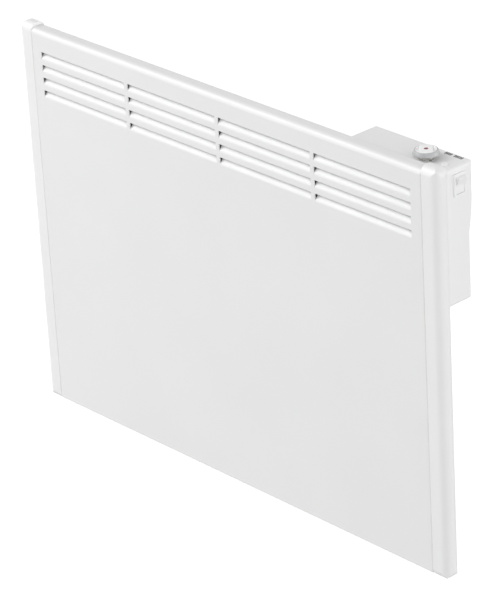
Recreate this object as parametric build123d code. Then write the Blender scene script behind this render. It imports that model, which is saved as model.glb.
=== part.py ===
"""Wall panel convector heater: a folded steel panel with pressed louvres between two plastic end trims,
a control box behind its upper right corner, a finned element inside, and the wall bracket it tips on.

Everything is drawn in millimetres in the heater's own frame: X runs right as seen from the front,
Y runs back from the front face towards the wall, and Z runs up from the panel's bottom edge.
save() then moves each piece so that the origin is the centre of the bracket's hole pattern, on the wall.
"""

import os
from math import asin, atan2, degrees, hypot, radians, tan

from build123d import *

# ---- Clearances
flat_gap = 0.3  # clearance between flat faces of pieces that move apart
fit_gap = 0.05  # radial clearance of a shaft or screw in its hole
over = 1.0  # how far a cutting tool runs past the face that it cuts
slack = 0.002  # keeps apart the faces of outlines that cross at a rounded corner

# ---- Front panel, folded from one sheet
panel_width = 519.0
panel_height = 398.2
casing_depth = 17.0  # front face to the back of the return lips
panel_sheet = 1.0
top_bend = 4.5  # inside radius of the bend along the top front edge
rear_bend = 4.0
edge_bend = 0.5
return_lip = 14.0
side_lip = 10.0

# ---- Louvres, lanced and pressed inwards
louvre_rows = 4
louvre_columns = 4
louvre_side_margin = 12.9
louvre_bar = 4.4  # plain metal between two columns
louvre_pitch = 13.1
louvre_top_margin = 21.5  # panel top to the first slit
louvre_height = 8.0
louvre_reach = 5.0  # how far the blade's free edge lies behind the front face
louvre_bend = 3.5  # radius with which the blade leaves the face
louvre_slit = 0.8
louvre_end_gap = 0.15

# ---- Air inlet slots in the bottom flange
inlet_count = 13
inlet_side_margin = 17.5
inlet_width = 8.0
inlet_bar = 10.0

# ---- End trims
trim_width = 19.0
trim_wall = 2.0
trim_round = 8.5
trim_dome = 9.0
trim_end_round = 8.0
trim_seam_round = 1.0
trim_over_top = 3.5
trim_under_bottom = 3.0
trim_lip = 8.0  # how far the closed ends of the channel reach over the panel's side
trim_boss_radius = 3.6
trim_screw_radius = 1.5
trim_screw_length = 12.0
trim_screw_margin = 55.0  # from the panel's ends to the outer screws

# ---- Rear casing, a flanged plate with a drawn tray
rear_sheet = 0.8
rear_top_margin = 5.2
rear_bottom_margin = 5.0
rear_side_margin = 4.0
tray_left_margin = 31.5
tray_bottom_margin = 22.0
tray_top_margin = 26.2
tray_box_gap = 12.3  # from the tray to the control box
tray_depth = 29.2  # behind the plate
tray_slope = 10.0  # how far the tray's walls draw in
tray_corner = 16.0
vent_count = 9
vent_length = 24.0
vent_height = 4.0
vent_side_margin = 35.0
vent_row_pitch = 9.0
vent_rows = 2
casing_screw_radius = 1.7
casing_screw_length = 8.0
casing_screw_inset = 19.5

# ---- Pan head of all small screws
head_radius = 3.2
head_height = 2.0
head_round = 0.9
recess_radius = 0.9
recess_depth = 1.2
screw_land = 1.0  # plain sheet beside a screw's head

# ---- Heating element
element_behind_plate = 7.2
element_above_tray = 74.0  # tray's bottom edge to the middle of the element
element_left_margin = 38.0  # tray to the outermost fin
element_right_margin = 46.0
tube_radius = 4.0
tube_spacing = 24.0
fin_count = 46
fin_thickness = 0.6
fin_depth = 28.0
fin_height = 48.0
hanger_sheet = 1.2
hanger_offset = 8.0  # hanger outside the last fin
hanger_foot = 12.0
hanger_screw_offset = 7.5  # hanger to the screws in its foot
hanger_screw_spread = 30.0
element_screw_length = 3.3
hairpin_end = 14.0  # tube past the right hanger
hairpin_start = 4.0  # straight tube between the left hanger and the bend
bend_slack = 0.01  # keeps the hairpin's two quarter bends from meeting in a point
terminal_radius = 1.6
terminal_length = 9.0

# ---- Heat shield and cut-out
shield_sheet = 0.6
shield_gap = 5.4  # air gap between shield and tray
shield_bottom_margin = 38.0  # tray's edges to the shield's edges
shield_top_margin = 27.0
shield_side_margin = 20.0
cutout_off_middle = 5.0
cutout_above_element = 69.0
cutout_radius = 7.5
cutout_height = 8.0
cutout_plate_length = 26.0
cutout_plate_width = 9.0
cutout_plate = 1.0

# ---- Control box
box_width = 118.7
box_height = 130.9
box_past_panel = 9.5  # how far the box stands out past the panel's right end
box_below_panel = 5.8  # box's top below the panel's top
box_depth_low = 30.7  # behind the rear plate
box_depth_high = 38.2
box_slant_drop = 24.4  # box's top to the top of the slanting part
box_slant_height = 43.0
box_wall = 2.2
box_top_round = 4.0
box_left_round = 11.0
box_right_round = 6.0
box_bottom_round = 3.0
box_slant_round = 12.0
mould_round = 0.5  # least corner radius in the mould
box_boss_radius = 3.8
box_screw_radius = 1.5
box_screw_length = 10.0
box_screw_inset = 9.0
box_vent_count = 7
box_vent_length = 14.0
box_vent_width = 3.0
box_vent_pitch = 7.0
box_vent_start = 14.0  # cord gland to the first vent

# ---- Thermostat and knob
knob_inset = 33.5  # from the box's right side
knob_behind_plate = 14.4
knob_radius = 12.1
knob_top_radius = 10.2
knob_height = 4.4
knob_gap = 3.8
knob_angle = -46.0  # direction in which the grip bar points at rest
knob_wall = 1.7
knob_round = 0.7
grip_width = 12.0
grip_rim = 1.1
grip_recess = 1.3
dot_radius = 1.9
dot_depth = 0.8
dot_proud = 0.1
spindle_radius = 3.0
spindle_flat = 0.8
spindle_depth = 12.0
spindle_socket = 1.0  # how far the spindle enters the knob's top
bush_radius = 4.9
nut_across = 14.0
nut_height = 2.2
thermostat_width = 30.0
thermostat_depth = 24.0
thermostat_height = 22.0
thermostat_round = 1.5
thermostat_tab_offset = 8.0

# ---- Temperature sensor
bulb_inset = 15.7  # from the box's left side
bulb_behind_plate = 6.7
bulb_above_floor = 10.5
bulb_length = 42.0
bulb_radius = 3.1
bulb_round = 1.2
capillary_radius = 0.7
capillary_bend = 5.0
capillary_run = 20.0  # slanting run between bulb and thermostat
clip_wall = 1.6
clip_width = 8.0
clip_mouth = 4.3

# ---- Rocker switch
switch_behind_plate = 19.4
switch_drop = 17.2  # box's top to the middle of the switch
bezel_width = 15.2
bezel_height = 21.6
bezel_proud = 2.0
bezel_round = 1.6
bezel_edge_round = 0.6
switch_body_width = 12.4
switch_body_height = 19.2
switch_body_depth = 11.0
tab_length = 5.0  # blade terminals of the switch, thermostat and cut-out
tab_width = 4.8
tab_sheet = 0.8
switch_tab_offset = 5.0
rocker_width = 9.6
rocker_reach = 7.3  # pivot to each end of the rocker
rocker_front = 3.0  # pivot to the middle of the rocker's face
rocker_flank = 3.5  # how far the rocker's sides start behind the ends of its face
rocker_heel = 2.2  # how far the rocker reaches behind its pivot
rocker_heel_width = 5.2
rocker_heel_round = 1.5
rocker_edge_round = 0.4
rocker_valley_round = 6.0
rocker_well = 5.0  # depth of the body's well behind the pivot
rocker_tilt = 12.0  # each way from level; the drawn position is lower half in
rocker_below_bezel = 0.1
rocker_gap = 0.15
trunnion_radius = 1.2
trunnion_length = 0.9

# ---- Pilot light
pilot_inset = 11.2  # from the box's right side
pilot_behind_plate = 13.8
pilot_radius = 2.9
pilot_flange = 3.5
pilot_flange_height = 0.9
pilot_flange_round = 0.6
pilot_tail = 0.8  # stem below the housing's wall
pilot_face = 1.0  # from the housing's top down to the lamp
lamp_radius = 1.9
lamp_length = 3.6

# ---- Mains terminals, gland and wiring
block_inset = 45.7  # from the box's left side
block_above_floor = 56.5
block_width = 30.0
block_depth = 15.0
block_height = 18.0
block_round = 1.0
block_screw_radius = 1.8
block_screw_pitch = 9.0
block_screw_rows = 10.0  # between the upper and the lower screws
block_screw_depth = 4.0
block_screw_height = 3.0
gland_behind_plate = 14.2
gland_radius = 6.0
gland_bore = 3.7
gland_flange = 8.0
gland_flange_height = 3.0
gland_flange_round = 1.2
gland_inside = 5.0  # sleeve inside the housing's wall
clamp_above_floor = 26.5
clamp_width = 26.0
clamp_height = 8.0
clamp_depth = 10.0
clamp_bore = 3.6
clamp_end = 0.6  # plastic between a screw's head and the end
earth_past_block = 40.0
earth_above_floor = 44.5
tag_radius = 4.2
tag_sheet = 0.8
tag_blade_width = 6.3
tag_blade_length = 14.0
wire_radius = 1.1
wire_bend = 4.0
wire_lift = 20.0  # from the terminal block up to where the live wire turns
wire_drop = 10.0  # straight wire at a terminal before its first bend
wire_side = 8.0  # how far the switched wire passes in front of the switch
wire_loop = 25.0  # between the cut-out's two leads
lead_front = 11.0  # how far behind the front face the element leads run
lead_inset = 6.0  # from the tray's right edge to the outer lead
lead_pitch = 3.0
grommet_inset = 23.7  # from the box's left side
grommet_drop = 52.4  # from the box's top
grommet_radius = 6.0
grommet_bore = 4.2
grommet_lip = 1.4

# ---- Hinge parts at the back of the tray
hinge_inset = 22.0  # from the bracket's side to the hinge, the latch and the wall holes
pivot_above_tray = 22.0
pin_behind_tray = 9.0
pin_radius = 3.0
ear_sheet = 1.5
ear_spacing = 9.0
ear_radius = 6.0
hinge_plate_height = 22.0
hinge_rivet_margin = 5.0  # from an ear to a rivet, and from there to the plate's end
hinge_rivet_rise = 5.0  # from the pin up to the rivets
pin_head_radius = 4.4
pin_head_height = 1.7
rivet_radius = 1.6
rivet_head_radius = 2.8
rivet_head_height = 0.8

# ---- Catches at the top of the tray
catch_below_top = 46.0  # from the tray's top edge
catch_sheet = 1.2
catch_width = 18.0
catch_reach = 10.0
catch_lip = 4.0
catch_plate_height = 16.0

# ---- Wall bracket
bracket_sheet = 1.5
bracket_width = 234.0
bracket_below_pivot = 16.0
bracket_above_catch = 20.0
bracket_leg = 42.0
bracket_rail = 44.0
bracket_corner = 8.0
bracket_flange = 7.0
flange_above_pivot = 16.0
hook_sheet = 2.5
hook_wall = 3.2
hook_round = 5.0
hook_tip_round = 1.0
wall_gap = 19.0  # from the tray's back to the wall
wall_hole_margin = 64.0  # half of what the bracket's height has beyond the hole pitch
wall_hole_rise = 3.0  # pattern's centre above the bracket's middle
wall_hole_radius = 2.75
wall_slot_length = 12.0

# ---- Latch springs and buffers on the bracket
latch_sheet = 0.8
latch_width = 14.0
latch_foot = 22.0
latch_foot_drop = 4.0  # catch down to the top of the spring's foot
latch_rivet_inset = 5.0
latch_rise = 12.0  # catch to the top of the spring
latch_nose_gap = 0.8  # nose above the catch's shelf
latch_bend = 2.0
buffer_below_catch = 56.0
buffer_radius = 7.0
buffer_round = 1.5
buffer_stud = 2.5

# ---- Worked out from the sizes above: the casing
half_width = panel_width / 2
plate_back = casing_depth + rear_sheet
trim_depth = plate_back - flat_gap
louvre_field = panel_width - 2 * louvre_side_margin + louvre_bar
louvre_length = louvre_field / louvre_columns - louvre_bar
inlet_field = panel_width - 2 * inlet_side_margin + inlet_bar
inlet_length = inlet_field / inlet_count - inlet_bar
casing_screw_spread = half_width - casing_screw_inset

# ---- Worked out: the control box and what is in it
box_right = half_width + box_past_panel
box_left = box_right - box_width
box_top = panel_height - box_below_panel
box_bottom = box_top - box_height
box_inner_top = box_top - box_wall
box_rear_low = plate_back + box_depth_low
box_rear_high = plate_back + box_depth_high
box_slant_top = box_top - box_slant_drop
box_slant_bottom = box_slant_top - box_slant_height
knob_x = box_right - knob_inset
knob_y = plate_back + knob_behind_plate
bulb_x = box_left + bulb_inset
bulb_y = plate_back + bulb_behind_plate
bulb_bottom = box_bottom + bulb_above_floor
switch_y = plate_back + switch_behind_plate
switch_z = box_top - switch_drop
bezel_front = box_right + bezel_proud
rocker_x = bezel_front - rocker_below_bezel - rocker_front
pilot_x = box_right - pilot_inset
pilot_y = plate_back + pilot_behind_plate
block_x = box_left + block_inset
block_z = box_bottom + block_above_floor
gland_x = block_x
gland_y = plate_back + gland_behind_plate
clamp_z = box_bottom + clamp_above_floor
earth_x = block_x + earth_past_block
earth_z = box_bottom + earth_above_floor
grommet_x = box_left + grommet_inset
grommet_z = box_top - grommet_drop

# ---- Worked out: the tray, the element in it and the hinge parts behind it
tray_left = tray_left_margin - half_width
tray_right = box_left - tray_box_gap
tray_middle = (tray_left + tray_right) / 2
tray_bottom = tray_bottom_margin
tray_top = panel_height - tray_top_margin
tray_rear = plate_back + tray_depth
vent_field = tray_right - tray_left - 2 * vent_side_margin
vent_pitch = (vent_field - vent_length) / (vent_count - 1)
element_left = tray_left + element_left_margin
element_right = tray_right - element_right_margin
element_centre_y = plate_back + element_behind_plate
element_centre_z = tray_bottom + element_above_tray
shield_left = tray_left + shield_side_margin
shield_right = tray_right - shield_side_margin
shield_bottom = tray_bottom + shield_bottom_margin
shield_top = tray_top - shield_top_margin
shield_y = tray_rear - rear_sheet - shield_gap - shield_sheet
cutout_x = tray_middle + cutout_off_middle
cutout_z = element_centre_z + cutout_above_element
hinge_x = bracket_width / 2 - hinge_inset
pin_y = tray_rear + pin_behind_tray
pin_z = tray_bottom + pivot_above_tray
catch_y = tray_rear + catch_reach
catch_z = tray_top - catch_below_top

# ---- Worked out: the bracket on the wall
front_to_wall = tray_rear + wall_gap
wall_face = front_to_wall - bracket_sheet
bracket_bottom = pin_z - bracket_below_pivot
bracket_top = catch_z + bracket_above_catch
wall_hole_spacing = 2 * hinge_x
wall_hole_pitch = bracket_top - bracket_bottom - 2 * wall_hole_margin
wall_hole_centre = (bracket_bottom + bracket_top) / 2 + wall_hole_rise
buffer_z = catch_z - buffer_below_catch


def save(name, shape):
    """Write one piece, moved so that the origin is the middle of the wall holes on the wall."""
    placed = Pos(0, -front_to_wall, -wall_hole_centre) * shape
    export_step(placed, f"parts/{name}.step")


def block(x_span, y_span, z_span):
    """Box between three pairs of limits."""
    size = [high - low for low, high in (x_span, y_span, z_span)]
    middle = [(high + low) / 2 for low, high in (x_span, y_span, z_span)]
    return Pos(*middle) * Box(*size)


def around(middle, size):
    """Pair of limits for a length that is centred on a place."""
    return middle - size / 2, middle + size / 2


def rod_x(start, y, z, radius, length):
    """Round bar from X = start towards +X."""
    return Pos(start + length / 2, y, z) * Rot(0, 90, 0) * Cylinder(radius, length)


def rod_y(x, start, z, radius, length):
    """Round bar from Y = start towards the wall."""
    return Pos(x, start + length / 2, z) * Rot(90, 0, 0) * Cylinder(radius, length)


def rod_z(x, y, start, radius, length):
    """Round bar from Z = start upwards."""
    return Pos(x, y, start + length / 2) * Cylinder(radius, length)


def rounded_face(corners):
    """Flat face from rows of (x, y, corner radius)."""
    points = [(x, y) for x, y, radius in corners]
    return make_face(FilletPolyline(*points, radius=[row[2] for row in corners], close=True))


def side_prism(corners, x_span):
    """Solid with a side outline of (y, z, corner radius) rows, between two X places."""
    face = Pos(x_span[0], 0, 0) * (Plane.YZ * rounded_face(corners))
    return extrude(face, x_span[1] - x_span[0], dir=(1, 0, 0))


def plan_prism(corners, z_span):
    """Solid with a plan outline of (x, y, corner radius) rows, between two heights."""
    face = Pos(0, 0, z_span[0]) * rounded_face(corners)
    return extrude(face, z_span[1] - z_span[0], dir=(0, 0, 1))


def front_prism(corners, y_span):
    """Solid with a front outline of (x, z, corner radius) rows, between two Y places."""
    face = Pos(0, y_span[1], 0) * (Plane.XZ * rounded_face(corners))
    return extrude(face, y_span[1] - y_span[0], dir=(0, -1, 0))


def rectangle(x_span, y_span, radii):
    """Rows for a rectangle: corners at low-low, high-low, high-high and low-high, with their radii."""
    places = [(x_span[0], y_span[0]), (x_span[1], y_span[0]), (x_span[1], y_span[1]), (x_span[0], y_span[1])]
    return [(x, y, radius) for (x, y), radius in zip(places, radii)]


def bent_tube(points, radius, bends):
    """Round wire or tube along straight runs joined by bends."""
    path = FilletPolyline(*points, radius=bends)
    section = Plane(origin=path @ 0, z_dir=path % 0) * Circle(radius)
    return sweep(section, path=path)


def pan_screw(radius, length):
    """Screw along +Y with its head before Y = 0."""
    head = Pos(0, -head_height / 2, 0) * Rot(90, 0, 0) * Cylinder(head_radius, head_height)
    head = fillet(head.edges().sort_by(Axis.Y)[0], head_round)
    recess = rod_y(0, -head_height, 0, recess_radius, recess_depth)
    return head + rod_y(0, 0, 0, radius, length) - recess


def group(solids):
    """Several separate solids in one node."""
    return Compound([solid for shape in solids for solid in shape.solids()])


# ---- Front panel ------------------------------------------------------------------------------

def casing_block(inset):
    """Outer or inner form of the folded casing, inset by the sheet from its outer faces."""
    grow = panel_sheet - inset
    low, high = inset, panel_height - inset
    left, right = inset - half_width, half_width - inset
    front, rear = inset, casing_depth - inset
    side = rectangle((front, rear), (low, high),
                     [edge_bend + grow, edge_bend + grow, rear_bend + grow, top_bend + grow])
    plan = rectangle((left, right), (front - slack, rear + slack), [edge_bend + grow] * 4)
    return side_prism(side, (left - over, right + over)) & plan_prism(plan, (low - over, high + over))


def louvre_centres():
    """Middle of each louvre across the panel."""
    step = louvre_length + louvre_bar
    return [(column - (louvre_columns - 1) / 2) * step for column in range(louvre_columns)]


def louvre_slits():
    """Height of each row's slit."""
    return [panel_height - louvre_top_margin - row * louvre_pitch for row in range(louvre_rows)]


def louvre_blade():
    """One pressed blade: it leaves the face at Z = 0 in a bend and slants in to its free edge."""
    rise = louvre_height - louvre_slit
    aside = louvre_bend - louvre_reach
    turn = degrees(asin(louvre_bend / hypot(rise, aside)) - atan2(aside, rise))
    outer = CenterArc((louvre_bend, 0), louvre_bend, 180, -turn)
    inner = CenterArc((louvre_bend, 0), louvre_bend - panel_sheet, 180, -turn)
    slant = Line(outer @ 1, (louvre_reach, rise))
    back = PolarLine(inner @ 1, slant.length, 90 - turn)
    profile = make_face([outer, slant, Line(slant @ 1, back @ 1), back, inner, Line(inner @ 0, outer @ 0)])
    length = louvre_length - 2 * louvre_end_gap
    return extrude(Pos(-length / 2, 0, 0) * (Plane.YZ * profile), length, dir=(1, 0, 0))


def make_front_panel():
    opening = block(
        (side_lip - half_width, half_width - side_lip),
        (casing_depth - 2 * panel_sheet, casing_depth + over),
        (return_lip, panel_height - return_lip),
    )
    shell = casing_block(0) - casing_block(panel_sheet) - opening
    blade = louvre_blade()
    holes, blades = [], []
    for x in louvre_centres():
        for slit in louvre_slits():
            sole = slit - louvre_height
            holes.append(block(around(x, louvre_length), (-over, panel_sheet + over), (sole, slit)))
            blades.append(Pos(x, 0, sole) * blade)
    shell = shell - holes + blades
    inlets = []
    for index in range(inlet_count):
        x = (index - (inlet_count - 1) / 2) * (inlet_length + inlet_bar)
        depth = around(casing_depth / 2, inlet_width)
        inlets.append(block(around(x, inlet_length), depth, (-over, panel_sheet + over)))
    screw_holes = [rod_y(x, 0, z, casing_screw_radius + fit_gap, 2 * casing_depth) & opening_band()
                   for x, z in casing_screw_places()]
    hole = trim_screw_radius + fit_gap
    trim_holes = [rod_x(-half_width - over, casing_depth / 2, z, hole, panel_width + 2 * over)
                  for z in trim_screw_heights()]
    return shell - inlets - screw_holes - trim_holes


def opening_band():
    """Layer that holds the casing's rear lips, where screws pass through."""
    depth = (casing_depth - 2 * panel_sheet, casing_depth + over)
    return block((-half_width, half_width), depth, (0, panel_height))


def casing_screw_places():
    """X and Z of the screws that hold the rear casing to the panel's top and bottom lips."""
    columns = [-casing_screw_spread, -casing_screw_spread / 3, casing_screw_spread / 3]
    top = panel_height - (rear_top_margin + return_lip) / 2
    bottom = (rear_bottom_margin + return_lip) / 2
    low_row = [(x, bottom) for x in columns + [casing_screw_spread]]
    high_row = [(x, top) for x in columns + [box_left - 3 * head_radius]]
    return low_row + high_row


def trim_screw_heights():
    return [trim_screw_margin, panel_height / 2, panel_height - trim_screw_margin]


# ---- End trims --------------------------------------------------------------------------------

def trim_form(inset, open_side):
    """Right trim from outside, or its hollow when inset by the wall: rounded in plan, domed at both ends."""
    left, right = half_width - open_side, half_width + trim_width - inset
    front, rear = inset, trim_depth - inset
    low, high = inset - trim_under_bottom, panel_height + trim_over_top - inset
    seam = trim_seam_round if inset == 0 else 0
    half_round = trim_depth / 2 - slack
    outer = min(trim_round, half_round) - inset
    end = min(trim_end_round, half_round) - inset
    dome = trim_dome - inset
    plan = rectangle((left, right), (front, rear), [seam, outer, outer, seam])
    face = rectangle((left - trim_width, right + slack), (low, high), [0, dome, dome, 0])
    side = rectangle((front - slack, rear + slack), (low - slack, high + slack), [end] * 4)
    return (plan_prism(plan, (low - over, high + over)) & front_prism(face, (front - over, rear + over))
            & side_prism(side, (left - trim_width, right + over)))


def make_end_trim():
    """Right end trim: a channel open towards the casing between its lipped ends, with three screw bosses."""
    bosses = [rod_x(half_width, casing_depth / 2, z, trim_boss_radius, trim_width - trim_wall)
              for z in trim_screw_heights()]
    hollow = trim_form(trim_wall, over)
    for ends in ((-trim_under_bottom, trim_lip), (panel_height - trim_lip, panel_height + trim_over_top)):
        hollow -= block((half_width - 2 * over, half_width + trim_wall), (0, trim_depth), ends)
    trim = trim_form(0, 0) - hollow + bosses
    pilot = trim_screw_radius + fit_gap
    pilots = [rod_x(half_width - over, casing_depth / 2, z, pilot, trim_screw_length + over)
              for z in trim_screw_heights()]
    return trim - pilots


def make_trim_screws():
    screws = []
    for side in (1, -1):
        for z in trim_screw_heights():
            screw = Rot(0, 0, -90 * side) * pan_screw(trim_screw_radius, trim_screw_length)
            screws.append(Pos(side * (half_width - panel_sheet), casing_depth / 2, z) * screw)
    return group(screws)


# ---- Rear casing ------------------------------------------------------------------------------

def tray_form(inset):
    """The drawn tray as a solid: its outside, or its inside when inset by the sheet."""
    start = plate_back - rear_sheet - inset
    front = tray_section(inset, 0, start)
    rear = tray_section(inset, tray_slope, tray_rear - inset)
    return loft([front, rear], ruled=True)


def tray_section(inset, slope, y):
    width = (tray_left + slope + inset, tray_right - slope - inset)
    height = (tray_bottom + slope + inset, tray_top - slope - inset)
    rows = rectangle(width, height, [tray_corner - inset] * 4)
    return Pos(0, y, 0) * (Plane.XZ * rounded_face(rows))


def make_rear_casing():
    plate = block(
        (rear_side_margin - half_width, half_width - rear_side_margin),
        (casing_depth, plate_back),
        (rear_bottom_margin, panel_height - rear_top_margin),
    )
    casing = plate + tray_form(0) - tray_form(rear_sheet)
    vents = []
    through_tray = (tray_rear - rear_sheet - over, tray_rear + over)
    for row in range(vent_rows):
        for index in range(vent_count):
            x = tray_middle + (index - (vent_count - 1) / 2) * vent_pitch
            z = tray_bottom + tray_slope + tray_corner + hinge_plate_height + row * vent_row_pitch
            vents.append(block(around(x, vent_length), through_tray, around(z, vent_height)))
    drill = rear_sheet + 2 * over
    start = casing_depth - over
    holes = [rod_y(x, start, z, casing_screw_radius + fit_gap, drill) for x, z in casing_screw_places()]
    holes += [rod_y(x, start, z, box_screw_radius + fit_gap, drill) for x, z in box_screw_places()]
    holes.append(rod_y(grommet_x, start, grommet_z, grommet_radius, drill))
    holes += [rod_y(x, through_tray[0], z, rivet_radius, drill) for x, z in rivet_places()]
    return casing - vents - holes


def make_casing_screws():
    return group([Pos(x, plate_back, z) * Rot(0, 0, 180) * pan_screw(casing_screw_radius, casing_screw_length)
                  for x, z in casing_screw_places()])


# ---- Hinge brackets, pins and catches on the tray's back --------------------------------------

def rivet_places():
    """X and Z of the rivets that hold the hinge brackets and the catches."""
    low = pin_z + hinge_rivet_rise
    high = catch_z - catch_plate_height / 2
    return [(side * hinge_x + offset, z)
            for side in (-1, 1)
            for offset, z in ((-hinge_rivet_offset(), low), (hinge_rivet_offset(), low),
                              (-catch_width / 4, high), (catch_width / 4, high))]


def hinge_rivet_offset():
    return ear_spacing / 2 + ear_sheet + hinge_rivet_margin


def make_hinge_bracket(middle):
    """Folded bracket: a plate on the tray with two ears that carry the pivot pin."""
    half = hinge_rivet_offset() + hinge_rivet_margin
    bracket = block((middle - half, middle + half), (tray_rear, tray_rear + ear_sheet),
                    (pin_z - hinge_plate_height / 2, pin_z + hinge_plate_height / 2))
    for side in (-1, 1):
        inner = middle + side * ear_spacing / 2
        outer = inner + side * ear_sheet
        span = (min(inner, outer), max(inner, outer))
        ear = block(span, (tray_rear, pin_y), (pin_z - ear_radius, pin_z + ear_radius))
        bracket += ear + rod_x(span[0], pin_y, pin_z, ear_radius, ear_sheet)
    bracket -= rod_x(middle - half, pin_y, pin_z, pin_radius + fit_gap, 2 * half)
    bracket -= [rod_y(x, tray_rear - over, z, rivet_radius, ear_sheet + 2 * over) for x, z in rivet_places()]
    return bracket


def make_hinge_pins():
    """Headed pivot pins, one through each pair of ears."""
    reach = ear_spacing + 2 * (ear_sheet + flat_gap)
    pins = []
    for middle in (-hinge_x, hinge_x):
        left, right = around(middle, reach)
        pin = rod_x(left, pin_y, pin_z, pin_radius, reach)
        for start in (left - pin_head_height, right):
            pin += rod_x(start, pin_y, pin_z, pin_head_radius, pin_head_height)
        pins.append(pin)
    return group(pins)


def make_catch(middle):
    """Angle riveted to the tray: a shelf towards the wall that ends in an upturned lip."""
    x_span = around(middle, catch_width)
    foot = block(x_span, (tray_rear, tray_rear + catch_sheet), (catch_z - catch_plate_height, catch_z))
    shelf = block(x_span, (tray_rear, catch_y), (catch_z - catch_sheet, catch_z))
    lip = block(x_span, (catch_y - catch_sheet, catch_y), (catch_z - catch_sheet, catch_z + catch_lip))
    holes = [rod_y(x, tray_rear - over, z, rivet_radius, catch_sheet + 2 * over) for x, z in rivet_places()]
    return foot + shelf + lip - holes


def make_rivets():
    """Rivets through the tray, with a head inside and one on the bracket or catch."""
    rivets = []
    for x, z in rivet_places():
        layer = ear_sheet if z < catch_z / 2 else catch_sheet
        shank = rod_y(x, tray_rear - rear_sheet, z, rivet_radius - fit_gap, rear_sheet + layer)
        inside = rod_y(x, tray_rear - rear_sheet - rivet_head_height, z, rivet_head_radius, rivet_head_height)
        outside = rod_y(x, tray_rear + layer, z, rivet_head_radius, rivet_head_height)
        rivets.append(shank + inside + outside)
    return group(rivets)


# ---- Wall bracket -----------------------------------------------------------------------------

def wall_hole_places():
    return [(x, wall_hole_centre + z)
            for x in (-wall_hole_spacing / 2, wall_hole_spacing / 2)
            for z in (-wall_hole_pitch / 2, wall_hole_pitch / 2)]


def hook_side(corner):
    """Side outline of the hook arm that carries the pin in an open cradle."""
    reach = pin_radius + fit_gap + hook_wall
    low = pin_z - reach
    high = pin_z + pin_radius
    return [(pin_y - reach, low, hook_round), (wall_face + corner, low, 0),
            (wall_face + corner, high + hook_wall, 0), (pin_y + reach, high + hook_wall, hook_tip_round),
            (pin_y + reach, high, hook_tip_round), (pin_y - reach, high, hook_tip_round)]


def make_wall_bracket():
    """Pressed frame screwed to the wall, with two hook arms folded out of its lower rail."""
    half = bracket_width / 2
    outline = rectangle((-half, half), (bracket_bottom, bracket_top), [bracket_corner] * 4)
    window = rectangle((bracket_leg - half, half - bracket_leg),
                       (bracket_bottom + bracket_rail, bracket_top - bracket_rail), [bracket_corner] * 4)
    frame = front_prism(outline, (wall_face, front_to_wall))
    frame -= front_prism(window, (wall_face - over, front_to_wall + over))
    flange_z = (pin_z + flange_above_pivot, bracket_top - bracket_corner)
    for side in (-1, 1):
        edge = sorted((side * half, side * (half - bracket_sheet)))
        frame += block(edge, (wall_face - bracket_flange, front_to_wall), flange_z)
    for middle in (-hinge_x, hinge_x):
        frame += side_prism(hook_side(bracket_sheet / 2), around(middle, hook_sheet))
        cradle = rod_x(middle - hook_sheet, pin_y, pin_z, pin_radius + fit_gap, 2 * hook_sheet)
        mouth = block(around(middle, 2 * hook_sheet), around(pin_y, 2 * (pin_radius + fit_gap)),
                      (pin_z, pin_z + 3 * pin_radius))
        frame -= [cradle, mouth]
    slots = []
    drill = bracket_sheet + 2 * over
    for x, z in wall_hole_places():
        slot = SlotOverall(wall_slot_length, 2 * wall_hole_radius)
        slots.append(extrude(Pos(x, front_to_wall + over, z) * (Plane.XZ * slot), drill))
    studs = [rod_y(x, wall_face - over, z, rivet_radius, drill) for x, z in latch_rivet_places()]
    studs += [rod_y(x, wall_face - over, buffer_z, buffer_stud + fit_gap, drill) for x in (-hinge_x, hinge_x)]
    return frame - slots - studs


def latch_foot_span():
    """Heights between which the latch spring lies on the bracket."""
    top = catch_z - latch_foot_drop
    return top - latch_foot, top


def latch_rivet_places():
    low, high = latch_foot_span()
    return [(x, z) for x in (-hinge_x, hinge_x) for z in (low + latch_rivet_inset, high - latch_rivet_inset)]


def make_latch_spring(middle):
    """Bent spring strip: foot on the bracket, arm over the catch, nose down in front of its lip."""
    low = latch_foot_span()[0]
    top = catch_z + latch_rise
    back = wall_face
    nose = catch_y - catch_sheet - flat_gap
    tip = catch_z + latch_nose_gap
    centre_line = FilletPolyline(
        (back - latch_sheet / 2, low), (back - latch_sheet / 2, top),
        (nose - latch_sheet / 2, top), (nose - latch_sheet / 2, tip),
        radius=latch_bend + latch_sheet / 2,
    )
    strip = trace(centre_line, latch_sheet)
    x_span = around(middle, latch_width)
    solid = extrude(Pos(x_span[0], 0, 0) * (Plane.YZ * strip), latch_width, dir=(1, 0, 0))
    start = back - latch_sheet - over
    drill = latch_sheet + 2 * over
    return solid - [rod_y(x, start, z, rivet_radius, drill) for x, z in latch_rivet_places()]


def make_latch_rivets():
    rivets = []
    for x, z in latch_rivet_places():
        shank = rod_y(x, wall_face - latch_sheet, z, rivet_radius - fit_gap, latch_sheet + bracket_sheet)
        head = rod_y(x, wall_face - latch_sheet - rivet_head_height, z, rivet_head_radius, rivet_head_height)
        rivets.append(shank + head)
    return group(rivets)


def make_wall_buffers():
    """Rubber buffers that the tray leans on when the heater is upright."""
    buffers = []
    for x in (-hinge_x, hinge_x):
        pad = rod_y(x, tray_rear + flat_gap, buffer_z, buffer_radius, wall_face - tray_rear - flat_gap)
        pad = fillet(pad.edges().sort_by(Axis.Y)[0], buffer_round)
        buffers.append(pad + rod_y(x, wall_face, buffer_z, buffer_stud, bracket_sheet))
    return group(buffers)


# ---- Heating element --------------------------------------------------------------------------

def tube_heights():
    return element_centre_z - tube_spacing / 2, element_centre_z + tube_spacing / 2


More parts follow.
